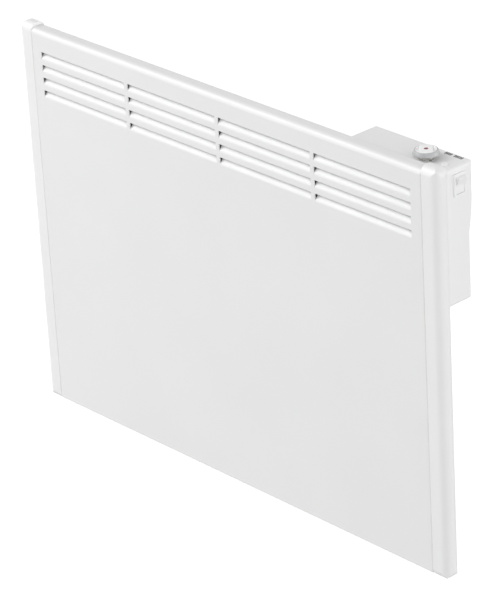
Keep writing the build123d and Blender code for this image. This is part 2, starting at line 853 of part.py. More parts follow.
def make_element_tube():
    """Sheathed heating tube bent into a hairpin."""
    low, high = tube_heights()
    end = element_right + hanger_offset + hairpin_end
    turn = element_left - hanger_offset - hairpin_start - tube_spacing / 2
    points = [(end, element_centre_y, low), (turn, element_centre_y, low),
              (turn, element_centre_y, high), (end, element_centre_y, high)]
    return bent_tube(points, tube_radius, tube_spacing / 2 - bend_slack)


def make_element_terminals():
    end = element_right + hanger_offset + hairpin_end
    return group([rod_x(end, element_centre_y, z, terminal_radius, terminal_length) for z in tube_heights()])


def element_plate(thickness, depth_span, height):
    """Plate across the element with its two tube holes, starting at X = 0."""
    plate = block((0, thickness), depth_span, around(element_centre_z, height))
    hole = tube_radius + fit_gap
    return plate - [rod_x(-over, element_centre_y, z, hole, thickness + 2 * over) for z in tube_heights()]


def make_element_fins():
    fin = element_plate(fin_thickness, around(element_centre_y, fin_depth), fin_height)
    pitch = (element_right - element_left - fin_thickness) / (fin_count - 1)
    return group([Pos(element_left + index * pitch, 0, 0) * fin for index in range(fin_count)])


def make_element_hanger(x, foot_side):
    """Plate that carries the tube, with a foot folded flat on the heat shield."""
    plate = element_plate(hanger_sheet, (element_centre_y - fin_depth / 2, shield_y), fin_height)
    foot_x = (hanger_sheet / 2, foot_side * hanger_foot + hanger_sheet / 2)
    foot = block(sorted(foot_x), (shield_y - hanger_sheet, shield_y), around(element_centre_z, fin_height))
    hanger = Pos(x, 0, 0) * (plate + foot)
    start = shield_y - hanger_sheet - over
    drill = hanger_sheet + 2 * over
    return hanger - [rod_y(px, start, pz, casing_screw_radius, drill) for px, pz in hanger_screw_places()]


def hanger_places():
    """X of each hanger and the side to which its foot points."""
    return [(element_left - hanger_offset, -1), (element_right + hanger_offset, 1)]


def hanger_screw_places():
    return [(x + side * hanger_screw_offset, z)
            for x, side in hanger_places() for z in around(element_centre_z, hanger_screw_spread)]


def make_element_screws():
    radius = casing_screw_radius - fit_gap
    return group([Pos(x, shield_y - hanger_sheet, z) * pan_screw(radius, element_screw_length)
                  for x, z in hanger_screw_places()])


def make_heat_shield():
    """Bright plate between element and tray, standing on two folded flanges."""
    x_span = (shield_left, shield_right)
    shield = block(x_span, (shield_y, shield_y + shield_sheet), (shield_bottom, shield_top))
    for low in (shield_bottom, shield_top - shield_sheet):
        shield += block(x_span, (shield_y, tray_rear - rear_sheet), (low, low + shield_sheet))
    drill = shield_sheet + 2 * over
    holes = [rod_y(x, shield_y - over, z, casing_screw_radius, drill) for x, z in hanger_screw_places()]
    return shield - holes


def make_overheat_cutout():
    """Bimetal disc in a flanged cup on the shield, with two blade terminals."""
    front = shield_y - cutout_plate
    wide, high = around(cutout_x, cutout_plate_length), around(cutout_z, cutout_plate_width)
    flange = block(wide, (front, shield_y), high)
    cup_front = front - cutout_height
    cup = rod_y(cutout_x, cup_front, cutout_z, cutout_radius, cutout_height)
    blades = [block(around(x, tab_sheet), (cup_front - tab_length, cup_front), around(cutout_z, tab_width))
              for x in around(cutout_x, cutout_radius)]
    return flange + cup + blades


# ---- Control box ------------------------------------------------------------------------------

def box_form(inset, front):
    """Control box from outside, or its hollow when inset by the wall."""
    low, high = box_bottom + inset, box_top - inset
    lower, upper = box_rear_low - inset, box_rear_high - inset
    left, right = box_left + inset, box_right - inset
    soft = max(box_bottom_round - inset, mould_round)
    top = box_top_round - inset
    side = [(front, low - slack, 0), (lower, low - slack, soft),
            (lower, box_slant_bottom, box_slant_round), (upper, box_slant_top, box_slant_round),
            (upper, high + slack, top), (front, high + slack, 0)]
    plan = rectangle((left, right), (front - over, upper + slack),
                     [0, 0, box_right_round - inset, box_left_round - inset])
    face = rectangle((left - slack, right + slack), (low, high), [soft, soft, top, top])
    return (side_prism(side, (left - over, right + over)) & plan_prism(plan, (low - over, high + over))
            & front_prism(face, (front - over, upper + over)))


def box_screw_places():
    inset = box_screw_inset
    left, right = box_left + inset, half_width - side_lip - head_radius - screw_land
    return [(left, box_bottom + inset), (right, box_bottom + inset), (left, box_top - 2 * inset),
            (right, box_slant_bottom + inset)]


def make_control_housing():
    """Moulded box, open towards the casing, with screw bosses inside its front edge."""
    housing = box_form(0, plate_back) - box_form(box_wall, plate_back - over)
    room = box_form(box_wall / 2, plate_back)
    for x, z in box_screw_places():
        housing += rod_y(x, plate_back, z, box_boss_radius, box_rear_high - plate_back) & room
    housing -= [rod_y(x, plate_back - over, z, box_screw_radius + fit_gap, box_screw_length + over)
                for x, z in box_screw_places()]
    drill = box_wall + 2 * over
    housing -= rod_z(knob_x, knob_y, box_inner_top - over, bush_radius + fit_gap, drill)
    housing -= rod_z(pilot_x, pilot_y, box_inner_top - over, pilot_radius + fit_gap, drill)
    housing -= rod_z(gland_x, gland_y, box_bottom - over, gland_radius + fit_gap, drill)
    wide = around(switch_y, switch_body_width + 2 * fit_gap)
    high = around(switch_z, switch_body_height + 2 * fit_gap)
    housing -= block((box_right - box_wall - over, box_right + over), wide, high)
    vents = []
    for index in range(box_vent_count):
        x = gland_x + box_vent_start + index * box_vent_pitch
        vents.append(block(around(x, box_vent_width), around(gland_y, box_vent_length),
                           (box_bottom - over, box_bottom + box_wall + over)))
    return housing - vents


def make_housing_screws():
    front = plate_back - rear_sheet
    screw = pan_screw(box_screw_radius, box_screw_length)
    return group([Pos(x, front, z) * screw for x, z in box_screw_places()])


# ---- Thermostat and knob ----------------------------------------------------------------------

def make_thermostat_body():
    """Switch part of the thermostat under the box top, with its threaded bush through the top."""
    z_span = (box_inner_top - thermostat_height, box_inner_top)
    body = block(around(knob_x, thermostat_width), around(knob_y, thermostat_depth), z_span)
    body = fillet(body.edges().filter_by(Axis.Z), thermostat_round)
    body += rod_z(knob_x, knob_y, box_inner_top, bush_radius, box_wall + nut_height)
    for side in (-1, 1):
        body += block(around(knob_x + side * thermostat_tab_offset, tab_sheet), around(knob_y, tab_width),
                      (z_span[0] - tab_length, z_span[0]))
    start = box_top - spindle_depth - flat_gap
    return body - rod_z(knob_x, knob_y, start, spindle_radius + fit_gap, box_top + nut_height + over - start)


def make_bush_nut():
    nut = extrude(RegularPolygon(nut_across / 2, 6, major_radius=False), nut_height)
    hole = rod_z(knob_x, knob_y, box_top - over, bush_radius + fit_gap, nut_height + 2 * over)
    return Pos(knob_x, knob_y, box_top) * nut - hole


def knob_base():
    return box_top + knob_gap


def knob_deck():
    """Height of the underside of the knob's top."""
    return knob_base() + knob_height - grip_recess - knob_wall


def spindle_cut(offset):
    """What is cut from the spindle to leave its flat."""
    low = box_top + nut_height + over
    return block((spindle_radius - spindle_flat + offset, 2 * spindle_radius), around(0, 4 * spindle_radius),
                 (low, low + spindle_depth))


def knob_turned():
    """Move a piece drawn on the Z axis to the spindle, turned as the knob stands."""
    return Pos(knob_x, knob_y, 0) * Rot(0, 0, knob_angle)


def make_thermostat_spindle():
    start = box_top - spindle_depth
    spindle = rod_z(0, 0, start, spindle_radius, knob_deck() + spindle_socket - start)
    return knob_turned() * (spindle - spindle_cut(0))


def make_thermostat_knob():
    """Moulded knob: round skirt, raised grip bar across the top, hollow underneath with a hub."""
    base, top = knob_base(), knob_base() + knob_height
    knob = Pos(0, 0, (base + top) / 2) * Cone(knob_radius, knob_top_radius, knob_height)
    knob = fillet(knob.edges().sort_by(Axis.Z)[-1], knob_round)
    bar = block(around(0, 3 * knob_radius), around(0, grip_width), (base, top))
    dish = rod_z(0, 0, top - grip_recess, knob_top_radius - grip_rim, knob_height) - bar
    hollow = rod_z(0, 0, base - over, knob_radius - knob_wall, knob_deck() - base + over)
    hub_base = box_top + nut_height + flat_gap
    hub = rod_z(0, 0, hub_base, spindle_radius + knob_wall, knob_deck() - hub_base)
    bore_top = knob_deck() + spindle_socket + fit_gap
    bore = rod_z(0, 0, hub_base - over, spindle_radius + fit_gap, bore_top - hub_base + over)
    flat = spindle_cut(fit_gap)
    pocket = rod_z(0, 0, top - dot_depth, dot_radius + fit_gap, knob_height)
    return knob_turned() * (knob - dish - hollow + hub - (bore - flat) - pocket)


def make_knob_dot():
    top = knob_base() + knob_height
    return knob_turned() * rod_z(0, 0, top - dot_depth, dot_radius, dot_depth + dot_proud)


# ---- Temperature sensor -----------------------------------------------------------------------

def make_sensor_bulb():
    bulb = rod_z(bulb_x, bulb_y, bulb_bottom, bulb_radius, bulb_length)
    return fillet(bulb.edges(), bulb_round)


def make_sensor_capillary():
    start = bulb_bottom + bulb_length
    level = box_inner_top - thermostat_height / 2
    end = knob_x - thermostat_width / 2
    points = [(bulb_x, bulb_y, start), (bulb_x, bulb_y, level - capillary_run),
              (bulb_x + capillary_run, knob_y, level), (end, knob_y, level)]
    return bent_tube(points, capillary_radius, capillary_bend)


def make_bulb_clip():
    """Plastic clip that holds the bulb to the rear plate."""
    z_span = around(bulb_bottom + bulb_length / 2, clip_width)
    outer = bulb_radius + fit_gap + clip_wall
    clip = rod_z(bulb_x, bulb_y, z_span[0], outer, clip_width)
    clip += block(around(bulb_x, 2 * outer), (plate_back, bulb_y), z_span)
    mouth = block(around(bulb_x, clip_mouth), (bulb_y, bulb_y + 2 * outer), z_span)
    seat = rod_z(bulb_x, bulb_y, z_span[0] - over, bulb_radius + fit_gap, clip_width + 2 * over)
    return clip - seat - mouth


# ---- Rocker switch ----------------------------------------------------------------------------

def rocker_end():
    """How far the ends of the rocker's face lie before its pivot, so that a pressed half is level."""
    return rocker_front + rocker_reach * tan(radians(rocker_tilt))


def rocker_radius():
    """Radius about the pivot on which the rocker's ends are rounded, so that they clear the well."""
    return hypot(rocker_end(), rocker_reach)


def rocker_profile():
    """Rows of the rocker's side outline about its pivot, level, with a V face and ends left long."""
    far = rocker_radius() + rocker_heel
    face = rocker_front + far * tan(radians(rocker_tilt))
    flank = rocker_end() - rocker_flank
    low, high = around(0, rocker_heel_width)
    return [(face, far, rocker_edge_round), (rocker_front, 0, rocker_valley_round),
            (face, -far, rocker_edge_round), (flank, -far, rocker_edge_round),
            (-rocker_heel, low, rocker_heel_round), (-rocker_heel, high, rocker_heel_round),
            (flank, far, rocker_edge_round)]


def make_switch_rocker():
    """Rocker with its trunnions, drawn with the lower half pressed in."""
    face = Plane.XZ * rounded_face(rocker_profile())
    rocker = extrude(face, rocker_width / 2, both=True)
    rocker &= rod_y(0, -rocker_width / 2, 0, rocker_radius(), rocker_width)
    rocker = fillet(rocker.edges().filter_by(Axis.Y).sort_by(Axis.X)[-2:], rocker_edge_round)
    reach = rocker_width + 2 * trunnion_length
    rocker += rod_y(0, -reach / 2, 0, trunnion_radius, reach)
    return Pos(rocker_x, switch_y, switch_z) * Rot(0, rocker_tilt, 0) * rocker


def make_switch_body():
    """Switch body with its bezel outside the housing and blade terminals inside."""
    bezel = block((box_right, bezel_front), around(switch_y, bezel_width), around(switch_z, bezel_height))
    bezel = fillet(bezel.edges().filter_by(Axis.X), bezel_round)
    bezel = fillet(bezel.faces().sort_by(Axis.X)[-1].edges(), bezel_edge_round)
    inner = box_right - switch_body_depth
    wide, high = around(switch_y, switch_body_width), around(switch_z, switch_body_height)
    body = bezel + block((inner, box_right), wide, high)
    well_width = rocker_width + 2 * rocker_gap
    well_radius = rocker_radius() + rocker_gap
    well = rod_y(rocker_x, switch_y - well_width / 2, switch_z, well_radius, well_width)
    well &= block((rocker_x - rocker_well, bezel_front + over), around(switch_y, well_width),
                  around(switch_z, 2 * well_radius))
    for z in around(switch_z, 2 * switch_tab_offset):
        body += block((inner - tab_length, inner), around(switch_y, tab_width), around(z, tab_sheet))
    reach = rocker_width + 2 * trunnion_length + 2 * rocker_gap
    holes = rod_y(rocker_x, switch_y - reach / 2, switch_z, trunnion_radius + fit_gap, reach)
    return body - well - holes


# ---- Pilot light ------------------------------------------------------------------------------

def make_pilot_lens():
    """Clear snap-in lens: domed flange on the box top, with a pocket for the lamp."""
    start = box_inner_top - pilot_tail
    stem = rod_z(pilot_x, pilot_y, start, pilot_radius, box_top - start)
    flange = rod_z(pilot_x, pilot_y, box_top, pilot_flange, pilot_flange_height)
    flange = fillet(flange.edges().sort_by(Axis.Z)[-1], pilot_flange_round)
    pocket = rod_z(pilot_x, pilot_y, start - over, lamp_radius + fit_gap, box_top - pilot_face - start + over)
    return stem + flange - pocket


def make_pilot_lamp():
    return rod_z(pilot_x, pilot_y, box_top - pilot_face - lamp_length, lamp_radius, lamp_length)


# ---- Mains terminals, gland and wiring --------------------------------------------------------

def block_screw_places():
    return [(block_x + offset * block_screw_pitch, z)
            for offset in (-1, 0, 1) for z in around(block_z, block_screw_rows)]


def make_terminal_block():
    back = plate_back + block_depth
    body = block(around(block_x, block_width), (plate_back, back), around(block_z, block_height))
    hole = block_screw_radius + fit_gap
    depth = block_screw_depth
    holes = [rod_y(x, back - depth, z, hole, depth + over) for x, z in block_screw_places()]
    return fillet(body.edges().filter_by(Axis.Y), block_round) - holes


def make_terminal_screws():
    start = plate_back + block_depth - block_screw_depth
    return group([rod_y(x, start, z, block_screw_radius, block_screw_height)
                  for x, z in block_screw_places()])


def make_cord_gland():
    """Flanged bush where a mains cord enters the box from below."""
    start = box_bottom - gland_flange_height
    gland = rod_z(gland_x, gland_y, start, gland_flange, gland_flange_height)
    gland = fillet(gland.edges().sort_by(Axis.Z)[0], gland_flange_round)
    end = box_bottom + box_wall + gland_inside
    gland += rod_z(gland_x, gland_y, box_bottom, gland_radius, end - box_bottom)
    return gland - rod_z(gland_x, gland_y, start - over, gland_bore, end - start + 2 * over)


def clamp_screw_places():
    return [(x, clamp_z) for x in around(gland_x, clamp_width - 2 * (head_radius + clamp_end))]


def make_cord_clamp():
    """Saddle that grips a cord against the rear plate, screwed down at both ends."""
    back = plate_back + clamp_depth
    clamp = block(around(gland_x, clamp_width), (plate_back, back), around(clamp_z, clamp_height))
    tunnel = rod_z(gland_x, plate_back + clamp_bore, clamp_z - clamp_height, clamp_bore, 2 * clamp_height)
    foot = block(around(gland_x, 2 * clamp_bore), (plate_back - over, plate_back + clamp_bore),
                 around(clamp_z, 2 * clamp_height))
    hole = box_screw_radius + fit_gap
    holes = [rod_y(x, plate_back - over, z, hole, clamp_depth + 2 * over) for x, z in clamp_screw_places()]
    return clamp - tunnel - foot - holes


def make_clamp_screws():
    back = plate_back + clamp_depth
    return group([Pos(x, back, z) * Rot(0, 0, 180) * pan_screw(box_screw_radius, clamp_depth)
                  for x, z in clamp_screw_places()])


def make_earth_tag():
    """Ring tag with a blade, under the earth screw."""
    ring = rod_y(earth_x, plate_back, earth_z, tag_radius, tag_sheet)
    blade = block(around(earth_x, tag_blade_width), (plate_back, plate_back + tag_sheet),
                  (earth_z - tag_blade_length, earth_z))
    hole = box_screw_radius + fit_gap
    return ring + blade - rod_y(earth_x, plate_back - over, earth_z, hole, tag_sheet + 2 * over)


def make_earth_screw():
    screw = Rot(0, 0, 180) * pan_screw(box_screw_radius, tag_sheet)
    return Pos(earth_x, plate_back + tag_sheet, earth_z) * screw


def make_wire_grommet():
    """Rubber ring in the plate, where the element leads pass from the casing into the box."""
    span = rear_sheet + 2 * grommet_lip
    start = plate_back - rear_sheet - grommet_lip
    ring = rod_y(grommet_x, start, grommet_z, grommet_radius + grommet_lip, span)
    groove = rod_y(grommet_x, start + grommet_lip, grommet_z, 2 * grommet_radius, rear_sheet)
    groove -= rod_y(grommet_x, start, grommet_z, grommet_radius - fit_gap, span)
    return ring - groove - rod_y(grommet_x, start - over, grommet_z, grommet_bore, span + 2 * over)


def wire_routes():
    """Name and corner points of each insulated wire."""
    clamp_y = plate_back + block_depth / 2
    block_top = block_z + block_height / 2
    block_low = block_z - block_height / 2
    blade_z = earth_z - tag_blade_length / 2
    live_x, neutral_x, earth_wire_x = (block_x + step * block_screw_pitch for step in (1, 0, -1))
    switch_x = box_right - switch_body_depth - tab_length / 2
    switch_low = switch_z - switch_tab_offset - tab_sheet / 2
    switch_high = switch_z + switch_tab_offset
    tab_edge = switch_y - tab_width / 2
    past_switch = tab_edge - wire_side
    tab_z = box_inner_top - thermostat_height - tab_length
    tab_left, tab_right = around(knob_x, 2 * thermostat_tab_offset)
    lead_high, lead_low = grommet_z + 2 * wire_radius, grommet_z - 2 * wire_radius
    outer_x = tray_right - lead_inset
    inner_x = outer_x - lead_pitch
    element_low, element_high = tube_heights()
    element_x = element_right + hanger_offset + hairpin_end + terminal_length
    cup_front = shield_y - cutout_plate - cutout_height - tab_length
    cup_left, cup_right = cutout_x - cutout_radius / 2, cutout_x + cutout_radius / 2
    return {
        "wire_live": [
            (live_x, clamp_y, block_top), (live_x, clamp_y, block_top + wire_lift),
            (switch_x, switch_y, block_top + wire_lift), (switch_x, switch_y, switch_low)],
        "wire_switched": [
            (switch_x, tab_edge, switch_high), (switch_x, past_switch, switch_high),
            (switch_x, past_switch, tab_z - wire_drop), (tab_right, knob_y, tab_z - wire_drop),
            (tab_right, knob_y, tab_z)],
        "wire_thermostat": [
            (tab_left, knob_y, tab_z), (tab_left, knob_y, tab_z - wire_drop),
            (grommet_x, knob_y, lead_high), (grommet_x, lead_front, lead_high),
            (inner_x, lead_front, lead_high), (inner_x, lead_front, cutout_z),
            (cup_right, lead_front, cutout_z), (cup_right, cup_front, cutout_z)],
        "wire_cutout": [
            (cup_left, cup_front, cutout_z), (cup_left, lead_front, cutout_z),
            (cup_left, lead_front, cutout_z - wire_loop), (inner_x, lead_front, cutout_z - wire_loop),
            (inner_x, lead_front, element_high + wire_drop), (inner_x, element_centre_y, element_high),
            (element_x, element_centre_y, element_high)],
        "wire_neutral": [
            (neutral_x, clamp_y, block_top), (neutral_x, clamp_y, lead_low), (grommet_x, clamp_y, lead_low),
            (grommet_x, lead_front, lead_low), (outer_x, lead_front, lead_low),
            (outer_x, lead_front, element_low + wire_drop), (outer_x, element_centre_y, element_low),
            (element_x, element_centre_y, element_low)],
        "wire_earth": [
            (earth_wire_x, clamp_y, block_low), (earth_wire_x, clamp_y, blade_z),
            (earth_x, clamp_y, blade_z), (earth_x, plate_back + tag_sheet, blade_z)],
    }


os.makedirs("parts", exist_ok=True)

save("front_panel", make_front_panel())
right_trim = make_end_trim()
save("end_trim_right", right_trim)
save("end_trim_left", mirror(right_trim, about=Plane.YZ))
save("trim_screws", make_trim_screws())
save("rear_casing", make_rear_casing())
save("casing_screws", make_casing_screws())

save("hinge_bracket_left", make_hinge_bracket(-hinge_x))
save("hinge_bracket_right", make_hinge_bracket(hinge_x))
save("hinge_pins", make_hinge_pins())
save("catch_left", make_catch(-hinge_x))
save("catch_right", make_catch(hinge_x))
save("tray_rivets", make_rivets())

save("wall_bracket", make_wall_bracket())
save("latch_spring_left", make_latch_spring(-hinge_x))
save("latch_spring_right", make_latch_spring(hinge_x))
save("latch_rivets", make_latch_rivets())
save("wall_buffers", make_wall_buffers())

save("element_tube", make_element_tube())
save("element_terminals", make_element_terminals())
save("element_fins", make_element_fins())
for side_name, (hanger_x, foot_direction) in zip(("left", "right"), hanger_places()):
    save(f"element_hanger_{side_name}", make_element_hanger(hanger_x, foot_direction))
save("element_screws", make_element_screws())
save("heat_shield", make_heat_shield())
save("overheat_cutout", make_overheat_cutout())

save("control_housing", make_control_housing())
save("housing_screws", make_housing_screws())
save("thermostat_body", make_thermostat_body())
save("bush_nut", make_bush_nut())
save("thermostat_spindle", make_thermostat_spindle())
save("thermostat_knob", make_thermostat_knob())
save("knob_dot", make_knob_dot())
save("sensor_bulb", make_sensor_bulb())
save("sensor_capillary", make_sensor_capillary())
save("bulb_clip", make_bulb_clip())
save("switch_body", make_switch_body())
save("switch_rocker", make_switch_rocker())
save("pilot_lens", make_pilot_lens())
save("pilot_lamp", make_pilot_lamp())
save("terminal_block", make_terminal_block())
save("terminal_screws", make_terminal_screws())
save("cord_gland", make_cord_gland())
save("cord_clamp", make_cord_clamp())
save("clamp_screws", make_clamp_screws())
save("earth_tag", make_earth_tag())
save("earth_screw", make_earth_screw())
save("wire_grommet", make_wire_grommet())
for wire, route in wire_routes().items():
    save(wire, bent_tube(route, wire_radius, wire_bend))
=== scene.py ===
import math

import bmesh
import bpy
from mathutils import Matrix, Vector


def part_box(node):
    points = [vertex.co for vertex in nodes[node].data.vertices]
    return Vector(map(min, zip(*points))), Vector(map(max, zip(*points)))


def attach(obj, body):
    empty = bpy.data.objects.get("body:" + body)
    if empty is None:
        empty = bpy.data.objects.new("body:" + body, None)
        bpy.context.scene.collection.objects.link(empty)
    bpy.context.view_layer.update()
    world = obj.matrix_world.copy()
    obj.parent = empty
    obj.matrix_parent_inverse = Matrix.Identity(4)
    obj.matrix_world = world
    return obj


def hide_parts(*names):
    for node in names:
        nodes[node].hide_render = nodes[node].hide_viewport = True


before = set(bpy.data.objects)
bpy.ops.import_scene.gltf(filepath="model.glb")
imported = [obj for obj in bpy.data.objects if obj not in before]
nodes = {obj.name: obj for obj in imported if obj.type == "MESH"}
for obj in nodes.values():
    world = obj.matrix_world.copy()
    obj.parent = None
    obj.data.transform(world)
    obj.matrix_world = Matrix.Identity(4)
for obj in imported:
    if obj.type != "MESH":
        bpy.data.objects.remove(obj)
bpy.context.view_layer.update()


# ---- Camera, lamps, room and floor -----------------------------------------------------------
# A long lens looks down on the heater from its front right, as in a shop picture. A bright
# room wraps round the heater, with a soft lamp in front and three wide, distant ones: high on
# the left, low on the right and behind on the right.
eye = Vector((2.13875, -1.94531, 1.37963))  # metres, as all places of lamps and camera
lens_mm = 204.04
sensor_mm = 36.0
view_turn = math.radians(48.2553)
view_dip = math.radians(25.848)
view_roll = math.radians(-3.2377)
view_limit = 50
front_from = Vector((-0.55, -0.82, 0.15))
front_distance = 1.7
front_size = 0.8
front_power = 4.7  # watts
distant_lamps = (  # name, where the light comes from, strength and spread in degrees
    ("high_lamp", Vector((-0.67, -0.48, 0.55)), 1.25, 30),
    ("side_lamp", Vector((0.85, -0.5, 0.1)), 1.25, 50),
    ("rear_lamp", Vector((0.75, 0.66, 0.14)), 0.72, 40),
)
white = "#FFFFFF"
seen_strength = 1.0  # a white room of this strength shows as pure white
room_strength = 0.495  # what the room gives the heater as light
floor_grey = "#A4A4A4"
floor_glow = 0.8  # strength that makes the seen floor nearly white
floor_drop = 1.6  # metres from the middle of the wall holes down to the floor
floor_reach = 6.0
square = ((-1, -1), (1, -1), (1, 1), (-1, 1))  # corners of a square, in turn


def linear(hex_code):
    """Turn an sRGB hex colour into the linear colour that shaders and lamps take."""
    shares = [int(hex_code[i:i + 2], 16) / 255 for i in (1, 3, 5)]
    return [s / 12.92 if s <= 0.04045 else ((s + 0.055) / 1.055) ** 2.4 for s in shares] + [1.0]


def add(tree, kind, sockets=None, **settings):
    """Add one node with its settings; a socket is given a plain value or another node's output."""
    made = tree.nodes.new(kind)
    for name, value in settings.items():
        setattr(made, name, value)
    for name, value in (sockets or {}).items():
        if isinstance(value, bpy.types.NodeSocket):
            tree.links.new(value, made.inputs[name])
        else:
            made.inputs[name].default_value = value
    return made


def stand(name, data):
    """Put a mesh, lamp or camera in the scene as a new object at the origin."""
    thing = bpy.data.objects.new(name, data)
    bpy.context.scene.collection.objects.link(thing)
    return thing


def lamp(name, kind, strength, comes_from):
    """Put a lamp in the scene that shines from a direction."""
    data = bpy.data.lights.new(name, kind)
    data.energy = strength
    made = stand(name, data)
    made.rotation_euler = comes_from.to_track_quat("Z", "Y").to_euler()
    return made


def seen_share(tree):
    """1 where the camera looks straight, mirrored or through glass, and 0 for light that falls."""
    rays = add(tree, "ShaderNodeLightPath").outputs
    share = rays["Is Camera Ray"]
    for kind in ("Is Glossy Ray", "Is Transmission Ray"):
        share = add(tree, "ShaderNodeMath", {0: share, 1: rays[kind]}, operation="MAXIMUM").outputs[0]
    return share


camera_data = bpy.data.cameras.new("photo_camera")
camera_data.sensor_width = sensor_mm
camera_data.lens = lens_mm
camera_data.clip_end = view_limit
camera = stand("photo_camera", camera_data)
camera.matrix_world = (
    Matrix.Translation(eye)
    @ Matrix.Rotation(view_turn, 4, "Z")
    @ Matrix.Rotation(math.pi / 2 - view_dip, 4, "X")
    @ Matrix.Rotation(view_roll, 4, "Z")
)
bpy.context.scene.camera = camera
bpy.context.scene.view_settings.view_transform = "Standard"

front_lamp = lamp("front_lamp", "AREA", front_power, front_from)
front_lamp.data.size = front_size
front_lamp.location = front_from.normalized() * front_distance
for name, comes_from, strength, spread in distant_lamps:
    distant = lamp(name, "SUN", strength, comes_from)
    distant.data.angle = math.radians(spread)

room = bpy.data.worlds.new("white_room")
room.use_nodes = True
bpy.context.scene.world = room
tree = room.node_tree
tree.nodes.clear()
levels = {"Value": seen_share(tree), "To Min": room_strength, "To Max": seen_strength}
level = add(tree, "ShaderNodeMapRange", levels).outputs["Result"]
sky = add(tree, "ShaderNodeBackground", {"Color": linear(white), "Strength": level})
add(tree, "ShaderNodeOutputWorld", {"Surface": sky.outputs[0]})

# The floor lies well below the heater, which hangs on a wall, and keeps a faint soft shadow.
floor_mesh = bpy.data.meshes.new("studio_floor")
floor_corners = [(x * floor_reach, y * floor_reach, -floor_drop) for x, y in square]
floor_mesh.from_pydata(floor_corners, [], [(0, 1, 2, 3)])
floor = stand("studio_floor", floor_mesh)
floor_paint = bpy.data.materials.new("matt_white_floor")
floor_paint.use_nodes = True
tree = floor_paint.node_tree
tree.nodes.clear()
lift = add(tree, "ShaderNodeMath", {0: seen_share(tree), 1: floor_glow}, operation="MULTIPLY")
matt = add(tree, "ShaderNodeBsdfDiffuse", {"Color": linear(floor_grey)})
glow = add(tree, "ShaderNodeEmission", {"Color": linear(white), "Strength": lift.outputs[0]})
both = add(tree, "ShaderNodeAddShader", {0: matt.outputs[0], 1: glow.outputs[0]})
add(tree, "ShaderNodeOutputMaterial", {"Surface": both.outputs[0]})
floor_mesh.materials.append(floor_paint)


# ---- Wall bracket ----------------------------------------------------------------------------
# A frame folded from one steel sheet, screwed to the wall through four slots, with two hooks
# for the heater's pins. Its pale grey powder coat is matt and a little pebbled.
noise_span = (0.3, 0.7)  # nearly all of a noise pattern's values lie between these


def shader_sockets(finish):
    """The inputs of a finish's shader."""
    return finish.node_tree.nodes["Principled BSDF"].inputs


def surface(name, colour, roughness, metallic=0.0, stretch=(1, 1, 1)):
    """Start a finish. A stretch draws its patterns out along X, Y or Z, as rolling does."""
    finish = bpy.data.materials.new(name)
    finish.use_nodes = True
    sockets = shader_sockets(finish)
    sockets["Base Color"].default_value = linear(colour)
    sockets["Roughness"].default_value = roughness
    sockets["Metallic"].default_value = metallic
    spot = add(finish.node_tree, "ShaderNodeTexCoord").outputs["Object"]
    in_mm = [1000 / s for s in stretch]
    add(finish.node_tree, "ShaderNodeMapping", {"Vector": spot, "Scale": in_mm}, name="spot_in_mm")
    return finish


def spot_in_mm(finish):
    """The place on the piece in mm, which a finish's patterns read."""
    return finish.node_tree.nodes["spot_in_mm"].outputs["Vector"]


def mottle(finish, size, low=0, high=1):
    """A soft random pattern with features of a size in mm, spread between two values."""
    grain = {"Vector": spot_in_mm(finish), "Scale": 1 / size}
    noise = add(finish.node_tree, "ShaderNodeTexNoise", grain).outputs["Fac"]
    spread = {"From Min": noise_span[0], "From Max": noise_span[1], "To Min": low, "To Max": high}
    return add(finish.node_tree, "ShaderNodeMapRange", {"Value": noise, **spread}).outputs["Result"]


def tint(finish, share, light, dark):
    """Let a pattern blend a finish between two near colours."""
    tones = {"Factor": share, "A": linear(dark), "B": linear(light)}
    blend = add(finish.node_tree, "ShaderNodeMix", tones, data_type="RGBA")
    finish.node_tree.links.new(blend.outputs["Result"], shader_sockets(finish)["Base Color"])


def gloss(finish, pattern):
    """Let a pattern change how rough a finish is."""
    finish.node_tree.links.new(pattern, shader_sockets(finish)["Roughness"])


def relief(finish, pattern, depth):
    """Let a pattern raise a finish by a depth in mm."""
    height = {"Height": pattern, "Distance": depth / 1000, "Strength": 1.0}
    bump = add(finish.node_tree, "ShaderNodeBump", height)
    finish.node_tree.links.new(bump.outputs["Normal"], shader_sockets(finish)["Normal"])


def dress(finish, *names):
    """Give CAD nodes a finish."""
    for name in names:
        for slot in nodes[name].material_slots:
            slot.material = finish


# Matt powder coat: polyester film, IOR 1.5, pebbled at about 1 mm.
bracket_coat = surface("matt_grey_powder_coat", "#D9DADB", 0.55)
tint(bracket_coat, mottle(bracket_coat, 30), "#DCDDDE", "#D4D5D6")
gloss(bracket_coat, mottle(bracket_coat, 14, 0.5, 0.6))
relief(bracket_coat, mottle(bracket_coat, 1.2), 0.02)
dress(bracket_coat, "wall_bracket")


# ---- Latch springs, buffers and rivets on the bracket ----------------------------------------
# Two blued spring-steel strips, riveted at their feet, snap over the heater's catches. Two
# rubber buffers keep the heater's back off the bracket.
weld = 1e-6  # metres: corners nearer to each other than this are one
smooth_below = 35  # degrees between two faces that still look like one round surface
rivet_head = (2.8, 0.8)  # radius and height in mm
rivet_shank = (1.55, 2.3)  # radius and length in mm
rivet_sides = 32
shank_sides = 24
# Rows of (radius, height) in mm, from the middle of the dimple over the dome to the seat.
rivet_rows = [
    (0, 0.42), (0.55, 0.42), (0.75, 0.78), (1.3, 0.76), (2.0, 0.62), (2.55, 0.34), (2.8, 0.06),
    (2.78, 0), (0, 0),
]

# Blued spring steel: rolled, tempered and oiled, so darker and smoother than zinc.
spring_steel = surface("blued_spring_steel", "#7F838A", 0.32, 1.0, (1.2, 1.2, 40))
tint(spring_steel, mottle(spring_steel, 1), "#8B8F96", "#72767D")
gloss(spring_steel, mottle(spring_steel, 1, 0.26, 0.4))
dress(spring_steel, "latch_spring_left", "latch_spring_right")

